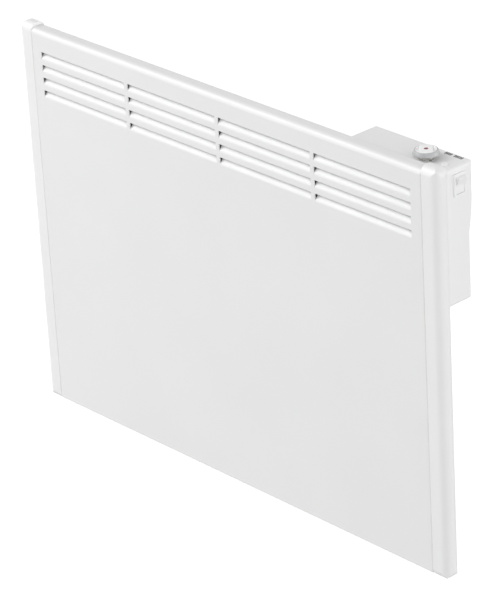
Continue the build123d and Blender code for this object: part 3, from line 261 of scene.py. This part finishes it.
# Moulded rubber: matt, with a fine bloom.
rubber = surface("grey_moulded_rubber", "#4A4B4D", 0.8)
tint(rubber, mottle(rubber, 3), "#545558", "#414244")
relief(rubber, mottle(rubber, 0.7), 0.03)
dress(rubber, "wall_buffers", "wire_grommet")

# Bright zinc plate: a thin passivated film on steel, faintly uneven.
zinc = surface("bright_zinc_plate", "#C2C5CA", 0.3, 1.0)
tint(zinc, mottle(zinc, 1.5), "#CDD0D5", "#B4B7BD")
gloss(zinc, mottle(zinc, 0.8, 0.24, 0.38))
dress(zinc, "hinge_pins")


def arc(radius, start, end, steps):
    """Points on an arc about the origin, from one angle to another in equal steps."""
    turns = [start + (end - start) * i / steps for i in range(steps + 1)]
    return [(radius * math.cos(turn), radius * math.sin(turn)) for turn in turns]


def turned(rows, steps):
    """Turn rows of (radius, height) in mm round the Z axis; a radius of 0 closes an end."""
    shape = bmesh.new()
    rings = []
    for radius, height in rows:
        if radius == 0:
            rings.append([shape.verts.new((0, 0, height / 1000))] * steps)
            continue
        circle = arc(radius, 0, math.tau, steps)[:-1]
        rings.append([shape.verts.new((x / 1000, y / 1000, height / 1000)) for x, y in circle])
    for low, high in zip(rings, rings[1:]):
        for i in range(steps):
            j = (i + 1) % steps
            corners = list(dict.fromkeys((low[i], low[j], high[j], high[i])))
            shape.faces.new(corners)
    return shape


def shade(mesh, sharp):
    """Shade a mesh smooth, but for edges that turn by more than an angle in degrees."""
    mesh.shade_smooth()
    mesh.set_sharp_from_angle(angle=math.radians(sharp))


def meshed(name, shape, sharp=smooth_below):
    """Turn a bmesh into a mesh with outward faces, smooth but for its sharp edges."""
    bmesh.ops.remove_doubles(shape, verts=shape.verts, dist=weld)
    bmesh.ops.recalc_face_normals(shape, faces=shape.faces)
    mesh = bpy.data.meshes.new(name)
    shape.to_mesh(mesh)
    shape.free()
    shade(mesh, sharp)
    return mesh


def settle(piece):
    """Work an object's modifiers out into its mesh, and take them off."""
    bpy.context.view_layer.update()
    shown = piece.evaluated_get(bpy.context.evaluated_depsgraph_get())
    mesh = bpy.data.meshes.new_from_object(shown)
    piece.modifiers.clear()
    piece.data = mesh


def islands(name):
    """Corners of the separate bodies in a CAD node, each as a list of points in metres."""
    shape = bmesh.new()
    shape.from_mesh(nodes[name].data)
    bmesh.ops.remove_doubles(shape, verts=shape.verts, dist=weld)
    seen = set()
    found = []
    for start in shape.verts:
        if start in seen:
            continue
        seen.add(start)
        group = [start]
        for corner in group:
            near = [edge.other_vert(corner) for edge in corner.link_edges]
            fresh = [other for other in near if other not in seen]
            seen.update(fresh)
            group += fresh
        found.append([corner.co.copy() for corner in group])
    shape.free()
    return found


def seats(name, head):
    """Where each fastener of a CAD node sits under its head, and the way its head faces."""
    head_radius, head_height = head[0] / 1000, head[1] / 1000
    rim_depth = head_height / 8  # points this near to an end are its rim
    places = []
    for points in islands(name):
        low, high = (Vector([pick(p[i] for p in points) for i in range(3)]) for pick in (min, max))
        size = high - low
        # Across its axis a fastener is as wide as its head.
        along = max(range(3), key=lambda i: abs(size[i] - 2 * head_radius))
        axis = Vector([float(i == along) for i in range(3)])
        middle = (low + high) / 2
        # The head is at the end whose rim reaches further out, measured to 0.01 mm.
        reach = {}
        for end in (low[along], high[along]):
            rim = [p - middle for p in points if abs(p[along] - end) < rim_depth]
            reach[end] = round(max((p - p.project(axis)).length for p in rim), 5)
        top = max(reach, key=lambda end: (reach[end], end))
        outward = axis if top == high[along] else -axis
        seat = middle + outward * (size[along] / 2 - head_height)
        places.append((seat, outward))
    return places


def start_tree(name, inputs):
    """Start a Geometry Nodes tree with named inputs; give the tree and what comes in."""
    tree = bpy.data.node_groups.new(name, "GeometryNodeTree")
    for socket, kind in inputs:
        tree.interface.new_socket(socket, in_out="INPUT", socket_type="NodeSocket" + kind)
    return tree, add(tree, "NodeGroupInput").outputs


def end_tree(tree, copies, finish):
    """End a tree with a copy on each point, made real and given its finish."""
    placed = add(tree, "GeometryNodeInstanceOnPoints", copies)
    solid = add(tree, "GeometryNodeRealizeInstances", {"Geometry": placed.outputs[0]})
    coating = {"Geometry": solid.outputs[0], "Material": finish}
    coated = add(tree, "GeometryNodeSetMaterial", coating)
    tree.interface.new_socket("Pieces", in_out="OUTPUT", socket_type="NodeSocketGeometry")
    add(tree, "NodeGroupOutput", {"Pieces": coated.outputs[0]})


def grow(piece, tree, values):
    """Let a tree with given input values make an object's mesh."""
    modifier = piece.modifiers.new(tree.name, "NODES")
    modifier.node_group = tree
    for item in tree.interface.items_tree:
        if item.name in values:
            modifier[item.identifier] = values[item.name]
    settle(piece)


# Fasteners: one head and shank, set in every place and turned at random about its axis. The
# places carry the way that each head faces as an attribute.
fastening, given = start_tree("set_fasteners", (
    ("Places", "Geometry"), ("Head", "Object"), ("Shank radius", "Float"),
    ("Shank length", "Float"), ("Turn seed", "Int"), ("Finish", "Material"),
))
stored = {"Name": "outward"}
facing = add(fastening, "GeometryNodeInputNamedAttribute", stored, data_type="FLOAT_VECTOR")
head_way = {"Vector": facing.outputs["Attribute"]}
upright = add(fastening, "FunctionNodeAlignRotationToVector", head_way, axis="Z")
any_turn = {2: 0.0, 3: math.tau, "Seed": given["Turn seed"]}  # sockets 2 and 3: least and most
angle = add(fastening, "FunctionNodeRandomValue", any_turn, data_type="FLOAT").outputs[1]
spin = add(fastening, "FunctionNodeAxisAngleToRotation", {"Axis": (0, 0, 1), "Angle": angle})
turns = {"Rotation": upright.outputs["Rotation"], "Rotate By": spin.outputs["Rotation"]}
stance = add(fastening, "FunctionNodeRotateRotation", turns, rotation_space="LOCAL")
head = add(fastening, "GeometryNodeObjectInfo", {"Object": given["Head"]})
shank_size = {"Vertices": shank_sides, "Radius": given["Shank radius"], "Depth": given["Shank length"]}
rod = add(fastening, "GeometryNodeMeshCylinder", shank_size)
half_length = {0: given["Shank length"], 1: -0.5}
drop = add(fastening, "ShaderNodeMath", half_length, operation="MULTIPLY")
below = add(fastening, "ShaderNodeCombineXYZ", {"Z": drop.outputs[0]})
lowered = {"Geometry": rod.outputs["Mesh"], "Translation": below.outputs[0]}
shank = add(fastening, "GeometryNodeTransform", lowered)
whole = add(fastening, "GeometryNodeJoinGeometry")
fastening.links.new(head.outputs["Geometry"], whole.inputs[0])
fastening.links.new(shank.outputs[0], whole.inputs[0])
set_in_place = {
    "Points": given["Places"], "Instance": whole.outputs[0], "Rotation": stance.outputs["Rotation"],
}
end_tree(fastening, set_in_place, given["Finish"])


def fasten(name, node, body, pattern, head, shank, seed):
    """Set zinc-plated fasteners where a CAD node has plain ones. Sizes are radius, length in mm."""
    places = seats(node, head)
    mesh = bpy.data.meshes.new(name)
    mesh.from_pydata([seat for seat, outward in places], [], [])
    facing = mesh.attributes.new("outward", "FLOAT_VECTOR", "POINT")
    for point, (seat, outward) in zip(facing.data, places):
        point.vector = outward
    piece = stand(name, mesh)
    grow(piece, fastening, {
        "Head": pattern, "Shank radius": shank[0] / 1000, "Shank length": shank[1] / 1000,
        "Turn seed": seed, "Finish": zinc,
    })
    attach(piece, body)
    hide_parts(node)


# Pop rivet: a low dome with the dimple of its drawn mandrel.
rivet_pattern = stand("rivet_pattern", meshed("rivet_pattern", turned(rivet_rows, rivet_sides)))
fasten("latch_rivet_set", "latch_rivets", "bracket", rivet_pattern, rivet_head, rivet_shank, 3)


# ---- Front panel and rear casing -------------------------------------------------------------
# One sheet of steel, folded back along its edges, with four rows of lanced louvres, and the
# steel tray behind it. Their white powder coat is semi-gloss, a skin with a faint orange peel.

# Semi-gloss powder coat: polyester film, IOR 1.5. The peel is drawn at 2 mm to show at all.
powder_coat = surface("white_powder_coat", "#EAEAEA", 0.36)
tint(powder_coat, mottle(powder_coat, 90), "#EBEBEB", "#E9E9E9")
gloss(powder_coat, mottle(powder_coat, 20, 0.33, 0.4))
relief(powder_coat, mottle(powder_coat, 2), 0.006)
dress(powder_coat, "front_panel", "rear_casing")


# ---- End trims -------------------------------------------------------------------------------
# Long caps moulded in white ABS that slide over the panel's ends. Screws from inside hold
# each of them.

# Moulded ABS, IOR 1.5: a fine spark-eroded texture gives it a satin face.
trim_abs = surface("satin_white_abs", "#EEEEEE", 0.42)
tint(trim_abs, mottle(trim_abs, 60), "#EFEFEF", "#EDEDED")
gloss(trim_abs, mottle(trim_abs, 9, 0.38, 0.46))
relief(trim_abs, mottle(trim_abs, 0.9), 0.004)
dress(trim_abs, "end_trim_left", "end_trim_right")


# ---- Screws and rivets of the heater ---------------------------------------------------------
# Cross-recessed pan-head screws for the trims, casing, element, box and cord clamp, and pop
# rivets for the casing's brackets and catches. All are zinc plated.
pan_head = (3.2, 2.0)  # radius and height in mm
pan_sides = 40
pan_rows = [
    (0, 0), (3.2, 0), (3.2, 0.9), (3.08, 1.32), (2.75, 1.68), (2.2, 1.9), (1.2, 2.0), (0, 2.02),
]
screw_radius = 1.5
cross_reach = 1.75  # mm, middle to the end of a slot, at the cutter's upper end
cross_width = 0.95
cross_depth = 1.3
cross_taper = 0.55  # share of the size that is left at the bottom of the recess
cutter_over = 0.3  # mm that the recess's cutter stands over the head


def cross_ring(shape, height, share):
    """One level of a cross-recess cutter, at a height and a share of its size at the top."""
    reach = cross_reach * share / 1000
    side = cross_width / 2 * share / 1000
    corners = []
    for quarter in range(4):
        turn = Matrix.Rotation(quarter * math.pi / 2, 3, "Z")
        for x, y in ((side, -side), (reach, -side), (reach, side)):
            corners.append(shape.verts.new(turn @ Vector((x, y, height / 1000))))
    return corners


def close(shape, bottom, top):
    """Close a shape between two rims of as many corners with its sides, floor and top."""
    for i in range(len(top)):
        j = (i + 1) % len(top)
        shape.faces.new((bottom[i], bottom[j], top[j], top[i]))
    shape.faces.new(bottom)
    shape.faces.new(top)


cutter = bmesh.new()
recess_floor = cross_ring(cutter, pan_head[1] - cross_depth, cross_taper)
recess_mouth = cross_ring(cutter, pan_head[1] + cutter_over, 1.0)
close(cutter, recess_floor, recess_mouth)
recess = stand("screw_recess", meshed("screw_recess", cutter))
pan_pattern = stand("pan_pattern", meshed("pan_pattern", turned(pan_rows, pan_sides)))
cut = pan_pattern.modifiers.new("recess", "BOOLEAN")
cut.object = recess
cut.operation = "DIFFERENCE"
cut.solver = "EXACT"
settle(pan_pattern)
bpy.data.objects.remove(recess)
for name, node, length, seed in (
    ("trim_screw_set", "trim_screws", 12.0, 11),
    ("casing_screw_set", "casing_screws", 8.0, 12),
    ("element_screw_set", "element_screws", 3.3, 13),
    ("housing_screw_set", "housing_screws", 10.0, 14),
    ("clamp_screw_set", "clamp_screws", 8.0, 15),
):
    fasten(name, node, "heater", pan_pattern, pan_head, (screw_radius, length), seed)
fasten("tray_rivet_set", "tray_rivets", "heater", rivet_pattern, rivet_head, rivet_shank, 16)
bpy.data.objects.remove(pan_pattern)
bpy.data.objects.remove(rivet_pattern)


# ---- Hinge brackets, catches and element hangers ---------------------------------------------
# Pressed from hot-dip galvanised strip and riveted or screwed to the rear casing. Brackets and
# catches meet the wall bracket, and the hangers carry the element.
crystal_size = 6.0

# Galvanised strip: zinc crystals, each with its own grey and gloss.
galvanised = surface("galvanised_strip", "#B4B8BC", 0.42, 1.0)
cells = {"Vector": spot_in_mm(galvanised), "Scale": 1 / crystal_size}
crystals = add(galvanised.node_tree, "ShaderNodeTexVoronoi", cells).outputs["Color"]
channels = add(galvanised.node_tree, "ShaderNodeSeparateColor", {"Color": crystals})
crystal_grey = channels.outputs["Red"]
tint(galvanised, crystal_grey, "#C6CACE", "#A2A7AC")
crystal_gloss = {"Value": crystal_grey, "To Min": 0.34, "To Max": 0.5}
gloss(galvanised, add(galvanised.node_tree, "ShaderNodeMapRange", crystal_gloss).outputs["Result"])
dress(
    galvanised, "hinge_bracket_left", "hinge_bracket_right", "catch_left", "catch_right",
    "element_hanger_left", "element_hanger_right",
)


# ---- Heating element -------------------------------------------------------------------------
# A mineral-filled steel tube bent to a hairpin, with thin aluminium fins pressed on it. A fin
# has a folded lip along each upright edge and a drawn collar round each leg of the tube.
fin_deep, fin_tall, fin_sheet = 28.0, 48.0, 0.35
fin_lip = 1.2
collar_radius, collar_length = 4.35, 1.6
collar_sides = 24
fin_smooth_below = 30  # degrees
tube_radius = 4.0

# Steel sheath: annealed in the kiln that dries its filling, so brown-grey with straw patches.
sheath = surface("oxidised_steel_sheath", "#6E6A66", 0.45, 1.0)
tint(sheath, mottle(sheath, 12), "#80776B", "#5A5858")
gloss(sheath, mottle(sheath, 5, 0.38, 0.55))
dress(sheath, "element_tube")

# Mill-finish aluminium foil: bright, with faint rolling lines.
fin_foil = surface("mill_aluminium_foil", "#CDCFD2", 0.33, 1.0, (1, 1, 25))
tint(fin_foil, mottle(fin_foil, 0.8), "#D4D6D9", "#C2C4C8")
gloss(fin_foil, mottle(fin_foil, 0.8, 0.28, 0.42))


def box_mm(name):
    """The lower and the upper corner of a CAD node's box in mm."""
    return [Vector(corner) * 1000 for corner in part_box(name)]


def joined(shape, corners):
    """Join corners into a closed line of edges."""
    return [shape.edges.new(ends) for ends in zip(corners, corners[1:] + corners[:1])]


fins_low, fins_high = box_mm("element_fins")
tube_low, tube_high = box_mm("element_tube")
fin_middle = (fins_low + fins_high) / 2
fin = bmesh.new()
fin_corners = []
for y, z in square:
    corner = (0, (fin_middle.y + y * fin_deep / 2) / 1000, (fin_middle.z + z * fin_tall / 2) / 1000)
    fin_corners.append(fin.verts.new(corner))
fin_edges = joined(fin, fin_corners)
upright_edges = [fin_edges[1], fin_edges[3]]
rims = []
for height in (tube_low.z + tube_radius, tube_high.z - tube_radius):
    circle = arc(collar_radius, 0, math.tau, collar_sides)[:-1]
    ring = [fin.verts.new((0, (fin_middle.y + y) / 1000, (height + z) / 1000)) for y, z in circle]
    rims += joined(fin, ring)
bmesh.ops.triangle_fill(fin, edges=fin_edges + rims, use_beauty=True)
for folded, reach in ((upright_edges, fin_lip), (rims, collar_length)):
    drawn = bmesh.ops.extrude_edge_only(fin, edges=folded)["geom"]
    moved = [part for part in drawn if isinstance(part, bmesh.types.BMVert)]
    bmesh.ops.translate(fin, verts=moved, vec=(reach / 1000, 0, 0))
fin_pattern = stand("fin_pattern", meshed("fin_pattern", fin, fin_smooth_below))
thick = fin_pattern.modifiers.new("sheet", "SOLIDIFY")
thick.thickness = fin_sheet / 1000
settle(fin_pattern)

# The stack: one fin in every place of a straight row along the tube.
stacking, given = start_tree("stack_fins", (
    ("Geometry", "Geometry"), ("Fin", "Object"), ("Count", "Int"),
    ("First", "Vector"), ("Pitch", "Vector"), ("Finish", "Material"),
))
spacing = {"Count": given["Count"], "Start Location": given["First"], "Offset": given["Pitch"]}
row = add(stacking, "GeometryNodeMeshLine", spacing, mode="OFFSET")
one_fin = add(stacking, "GeometryNodeObjectInfo", {"Object": given["Fin"]})
pressed_on = {"Points": row.outputs[0], "Instance": one_fin.outputs["Geometry"]}
end_tree(stacking, pressed_on, given["Finish"])

fin_count = len(islands("element_fins"))
fin_pitch = (fins_high.x - fins_low.x - fin_lip) / (fin_count - 1)
fin_stack = stand("fin_stack", bpy.data.meshes.new("fin_stack"))
grow(fin_stack, stacking, {
    "Fin": fin_pattern, "Count": fin_count, "First": (fins_low.x / 1000, 0.0, 0.0),
    "Pitch": (fin_pitch / 1000, 0.0, 0.0), "Finish": fin_foil,
})
bpy.data.objects.remove(fin_pattern)
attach(fin_stack, "heater")
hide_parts("element_fins")


# ---- Heat shield -----------------------------------------------------------------------------
# A bright aluminium plate behind the element. It throws the element's heat forward, away from
# the rear casing.

# Bright rolled aluminium: long rolling lines across the plate.
bright_sheet = surface("bright_rolled_aluminium", "#D2D4D6", 0.26, 1.0, (60, 1, 1))
tint(bright_sheet, mottle(bright_sheet, 1.2), "#D9DBDD", "#C9CBCE")
gloss(bright_sheet, mottle(bright_sheet, 1.2, 0.2, 0.34))
dress(bright_sheet, "heat_shield")


# ---- Cut-out, thermostat, sensor and nylon fittings ------------------------------------------
# The cut-out's phenolic cap sits on the shield and the thermostat's body in the box. A copper
# bulb and capillary feel the room's air. Nylon clips and blocks hold bulb, wires and cord.

# Phenolic: dense, near black, moulded with a dull face.
phenolic = surface("black_phenolic", "#232325", 0.5)
tint(phenolic, mottle(phenolic, 2), "#2B2B2D", "#1C1C1E")
relief(phenolic, mottle(phenolic, 0.6), 0.01)
dress(phenolic, "overheat_cutout", "thermostat_body")

# Drawn copper: bright once, browned a little by the air.
copper = surface("drawn_copper", "#B87358", 0.34, 1.0)
tint(copper, mottle(copper, 4), "#C47E62", "#A1624B")
gloss(copper, mottle(copper, 2, 0.28, 0.44))
dress(copper, "sensor_bulb", "sensor_capillary")

# Grey nylon: waxy and slightly mottled by its filler.
nylon = surface("grey_nylon", "#A9ABAA", 0.5)
tint(nylon, mottle(nylon, 2), "#B1B3B2", "#A0A2A1")
relief(nylon, mottle(nylon, 0.7), 0.006)
dress(nylon, "bulb_clip", "terminal_block", "cord_clamp")


# ---- Control box -----------------------------------------------------------------------------
# A white ABS moulding behind the panel's right end, open to the casing, with vents beneath and
# an inlet sleeve for the cord.

# Moulded ABS: the trims' resin and white, with a slightly coarser and glossier texture.
housing_abs = surface("white_moulded_abs", "#EEEEEE", 0.4)
tint(housing_abs, mottle(housing_abs, 50), "#EFEFEF", "#EDEDED")
gloss(housing_abs, mottle(housing_abs, 7, 0.36, 0.45))
relief(housing_abs, mottle(housing_abs, 1.1), 0.005)
dress(housing_abs, "control_housing", "cord_gland")


# ---- Marks on the control box ----------------------------------------------------------------
# Dark ink on the box's top: two groups of plain ticks pad-printed behind the knob, and a short
# dark bar of the same ink just in front of it, where the knob's shadow is darkest.
box_top = box_mm("control_housing")[1].z
ink_height = 0.04  # mm, print above the plastic
# A short dark bar of the same ink in front of the knob, where the knob's shadow is darkest.
mark_at = (243.6, -37.0)
mark_size = (2.8, 1.6)  # length and width
mark_turn = 44
tick_row = -16.0  # mm, how far the ticks' middles lie in front of the wall
tick_groups = ((241.9, 4), (252.8, 5))  # the first tick's place and the count
tick_pitch = 2.05
tick_size = (4.2, 1.45)
tick_turn = 90  # their length points to the wall
ink_end_steps = 6  # in the half circle at each end

# Pad-print ink: a thin film, dark and satin, a little uneven.
ink = surface("dark_pad_print", "#2B2628", 0.5)
tint(ink, mottle(ink, 0.5), "#322C2F", "#231F21")


def ink_bar(shape, middle, size, turn):
    """Add one thin bar of ink with round ends, in mm on the box's top."""
    half = size[1] / 2
    run = size[0] / 2 - half
    swing = Matrix.Rotation(math.radians(turn), 2)
    rim = []
    for end, towards in ((run, 0), (-run, math.pi)):
        for x, y in arc(half, towards - math.pi / 2, towards + math.pi / 2, ink_end_steps):
            rim.append(swing @ Vector((end + x, y)) + Vector(middle))
    bottom, top = (
        [shape.verts.new((p.x / 1000, p.y / 1000, (box_top + rise) / 1000)) for p in rim]
        for rise in (-ink_height, ink_height)
    )
    close(shape, bottom, top)


ink_form = bmesh.new()
ink_bar(ink_form, mark_at, mark_size, mark_turn)
for first, count in tick_groups:
    for i in range(count):
        ink_bar(ink_form, (first + i * tick_pitch, tick_row), tick_size, tick_turn)
printed_marks = stand("printed_marks", meshed("printed_marks", ink_form))
printed_marks.data.materials.append(ink)
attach(printed_marks, "heater")


# ---- Thermostat knob -------------------------------------------------------------------------
# A grey moulded skirt with a white dished cap and grip bar snapped into it, pressed on the
# spindle. A red dot is let into the bar.
knob_low, knob_high = box_mm("thermostat_knob")
knob_middle = (knob_low + knob_high) / 2
knob_turn = math.radians(-46)  # where the bar points at rest
knob_sides = 96
# Rows of (radius, height) in mm from the hub's lower end.
skirt_rows = [
    (0, 3.7), (3.05, 3.7), (3.05, 0.0), (4.7, 0.0), (4.7, 2.7), (10.35, 2.7), (10.4, 1.3),
    (11.9, 1.3), (12.06, 1.38), (12.1, 1.55), (12.02, 2.1), (10.55, 4.95), (10.35, 5.25),
    (10.1, 5.4), (9.85, 5.42), (9.6, 5.3), (9.55, 3.9), (0, 3.9),
]
cap_rows = [
    (0, 3.8), (9.5, 3.8), (9.5, 5.35), (9.42, 5.58), (9.22, 5.68), (9.0, 5.62), (8.85, 5.4),
    (8.7, 4.75), (8.45, 4.55), (8.1, 4.5), (0, 4.5),
]
bar_width, bar_reach = 12.0, 9.75
bar_span = (4.3, 5.7)  # heights of its underside and its top
bar_end_steps = 12  # in the arc at each end
bar_round = 0.45
bar_round_steps = 4
bar_round_above = 50  # degrees that an edge turns by to be rounded
bar_smooth_below = 40  # degrees

# Knob skirt: grey ABS, smoother than the box, IOR 1.5.
grey_abs = surface("satin_grey_abs", "#BEBFC0", 0.36)
tint(grey_abs, mottle(grey_abs, 10), "#C1C2C3", "#BABBBC")
relief(grey_abs, mottle(grey_abs, 0.8), 0.003)

# Cap and grip bar: polished white ABS.
bar_abs = surface("polished_white_abs", "#FAFAFA", 0.25)
tint(bar_abs, mottle(bar_abs, 10), "#FBFBFB", "#F8F8F8")
relief(bar_abs, mottle(bar_abs, 0.8), 0.002)


def at_knob(piece, finish):
    """Carry a knob piece drawn on the Z axis to the spindle, in its mesh, and finish it."""
    place = Vector((knob_middle.x, knob_middle.y, knob_low.z)) / 1000
    piece.data.transform(Matrix.Translation(place) @ Matrix.Rotation(knob_turn, 4, "Z"))
    piece.data.materials.append(finish)
    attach(piece, "knob")


skirt = stand("knob_skirt", meshed("knob_skirt", turned(skirt_rows, knob_sides)))
at_knob(skirt, grey_abs)
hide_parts("thermostat_knob")
cap = stand("knob_cap", meshed("knob_cap", turned(cap_rows, knob_sides)))
at_knob(cap, bar_abs)

bar = bmesh.new()
sweep = math.asin(bar_width / 2 / bar_reach)
bar_rim = []
for towards in (0, math.pi):
    bar_rim += arc(bar_reach, towards - sweep, towards + sweep, bar_end_steps)
underside, face = (
    [bar.verts.new((x / 1000, y / 1000, height / 1000)) for x, y in bar_rim] for height in bar_span
)
close(bar, underside, face)
grip = stand("knob_grip", meshed("knob_grip", bar))
eased = grip.modifiers.new("eased_edges", "BEVEL")
eased.width = bar_round / 1000
eased.segments = bar_round_steps
eased.limit_method = "ANGLE"
eased.angle_limit = math.radians(bar_round_above)
settle(grip)
shade(grip.data, bar_smooth_below)
at_knob(grip, bar_abs)

# Red dot: a disc of dark red ABS, let into the bar and hardly proud of it.
red_inlay = surface("dark_red_inlay", "#7E1F27", 0.4)
tint(red_inlay, mottle(red_inlay, 0.8), "#86232B", "#761B23")
dress(red_inlay, "knob_dot")


# ---- Rocker switch ---------------------------------------------------------------------------
# A white nylon rocker in a white bezel, snapped into the box's side. It is drawn with its
# lower half in.

# Nylon switch moulding: a little glossier than the box, IOR 1.53.
switch_nylon = surface("white_switch_nylon", "#F0F0F0", 0.32)
shader_sockets(switch_nylon)["IOR"].default_value = 1.53
tint(switch_nylon, mottle(switch_nylon, 8), "#F1F1F1", "#EDEDED")
relief(switch_nylon, mottle(switch_nylon, 0.7), 0.003)
dress(switch_nylon, "switch_body", "switch_rocker")


# ---- Pilot light -----------------------------------------------------------------------------
# A small opal polycarbonate lens pushed into the box's top, with a neon lamp behind it. Both
# are drawn unlit.

# Opal polycarbonate, IOR 1.58: lets a little of the light through.
opal = surface("opal_polycarbonate", "#FAFAFA", 0.28)
shader_sockets(opal)["IOR"].default_value = 1.58
shader_sockets(opal)["Transmission Weight"].default_value = 0.08
tint(opal, mottle(opal, 2), "#FBFBFB", "#F7F7F7")
dress(opal, "pilot_lens", "pilot_lamp")


# ---- Brass fittings --------------------------------------------------------------------------
# Turned and pressed brass: terminals, the thermostat's plated nut and its spindle, the earth tag
# and screws.

# Machined brass: fine tool marks, a little tarnish.
brass = surface("machined_brass", "#C7A96A", 0.32, 1.0)
tint(brass, mottle(brass, 2), "#D2B476", "#B4965A")
gloss(brass, mottle(brass, 0.7, 0.25, 0.42))
dress(
    brass, "element_terminals", "thermostat_spindle", "terminal_screws", "earth_tag", "earth_screw",
)

# Nickel-plated brass of the nut: dull silver with fine tool marks.
nickel = surface("nickel_plated_brass", "#C9C7C0", 0.42, 1.0)
tint(nickel, mottle(nickel, 2), "#D0CEC7", "#BFBDB6")
gloss(nickel, mottle(nickel, 0.7, 0.3, 0.44))
dress(nickel, "bush_nut")


# ---- Internal wires --------------------------------------------------------------------------
# Heat-resistant wires between the terminals, switch, thermostat, cut-out and element. Their
# soft, slightly rough skin has the usual colours, and the earth wire has two in stripes.
stripe_pitch = 3.77  # mm along a straight wire, one green and one yellow stripe
wave_turn = 10  # radians that the wave pattern goes through in one unit

# Silicone-like skin: smooth patches of tone and a fine, soft grain.
for name, light, dark, wires in (
    ("brown_wire_skin", "#6E4229", "#5B341E", ("wire_live", "wire_switched")),
    ("white_wire_skin", "#E6E4DE", "#D8D6CF", ("wire_thermostat", "wire_cutout")),
    ("blue_wire_skin", "#2F63AC", "#245298", ("wire_neutral",)),
    ("green_yellow_wire_skin", "#D8C52A", "#2E8B3A", ("wire_earth",)),
):
    skin = surface(name, light, 0.45)
    if "wire_earth" in wires:
        bands = {"Vector": spot_in_mm(skin), "Scale": math.tau / (wave_turn * stripe_pitch)}
        waves = add(skin.node_tree, "ShaderNodeTexWave", bands, bands_direction="DIAGONAL")
        halves = {0: waves.outputs["Fac"], 1: 0.5}
        stripes = add(skin.node_tree, "ShaderNodeMath", halves, operation="GREATER_THAN")
        tint(skin, stripes.outputs[0], light, dark)
    else:
        tint(skin, mottle(skin, 3), light, dark)
    relief(skin, mottle(skin, 1), 0.01)
    dress(skin, *wires)
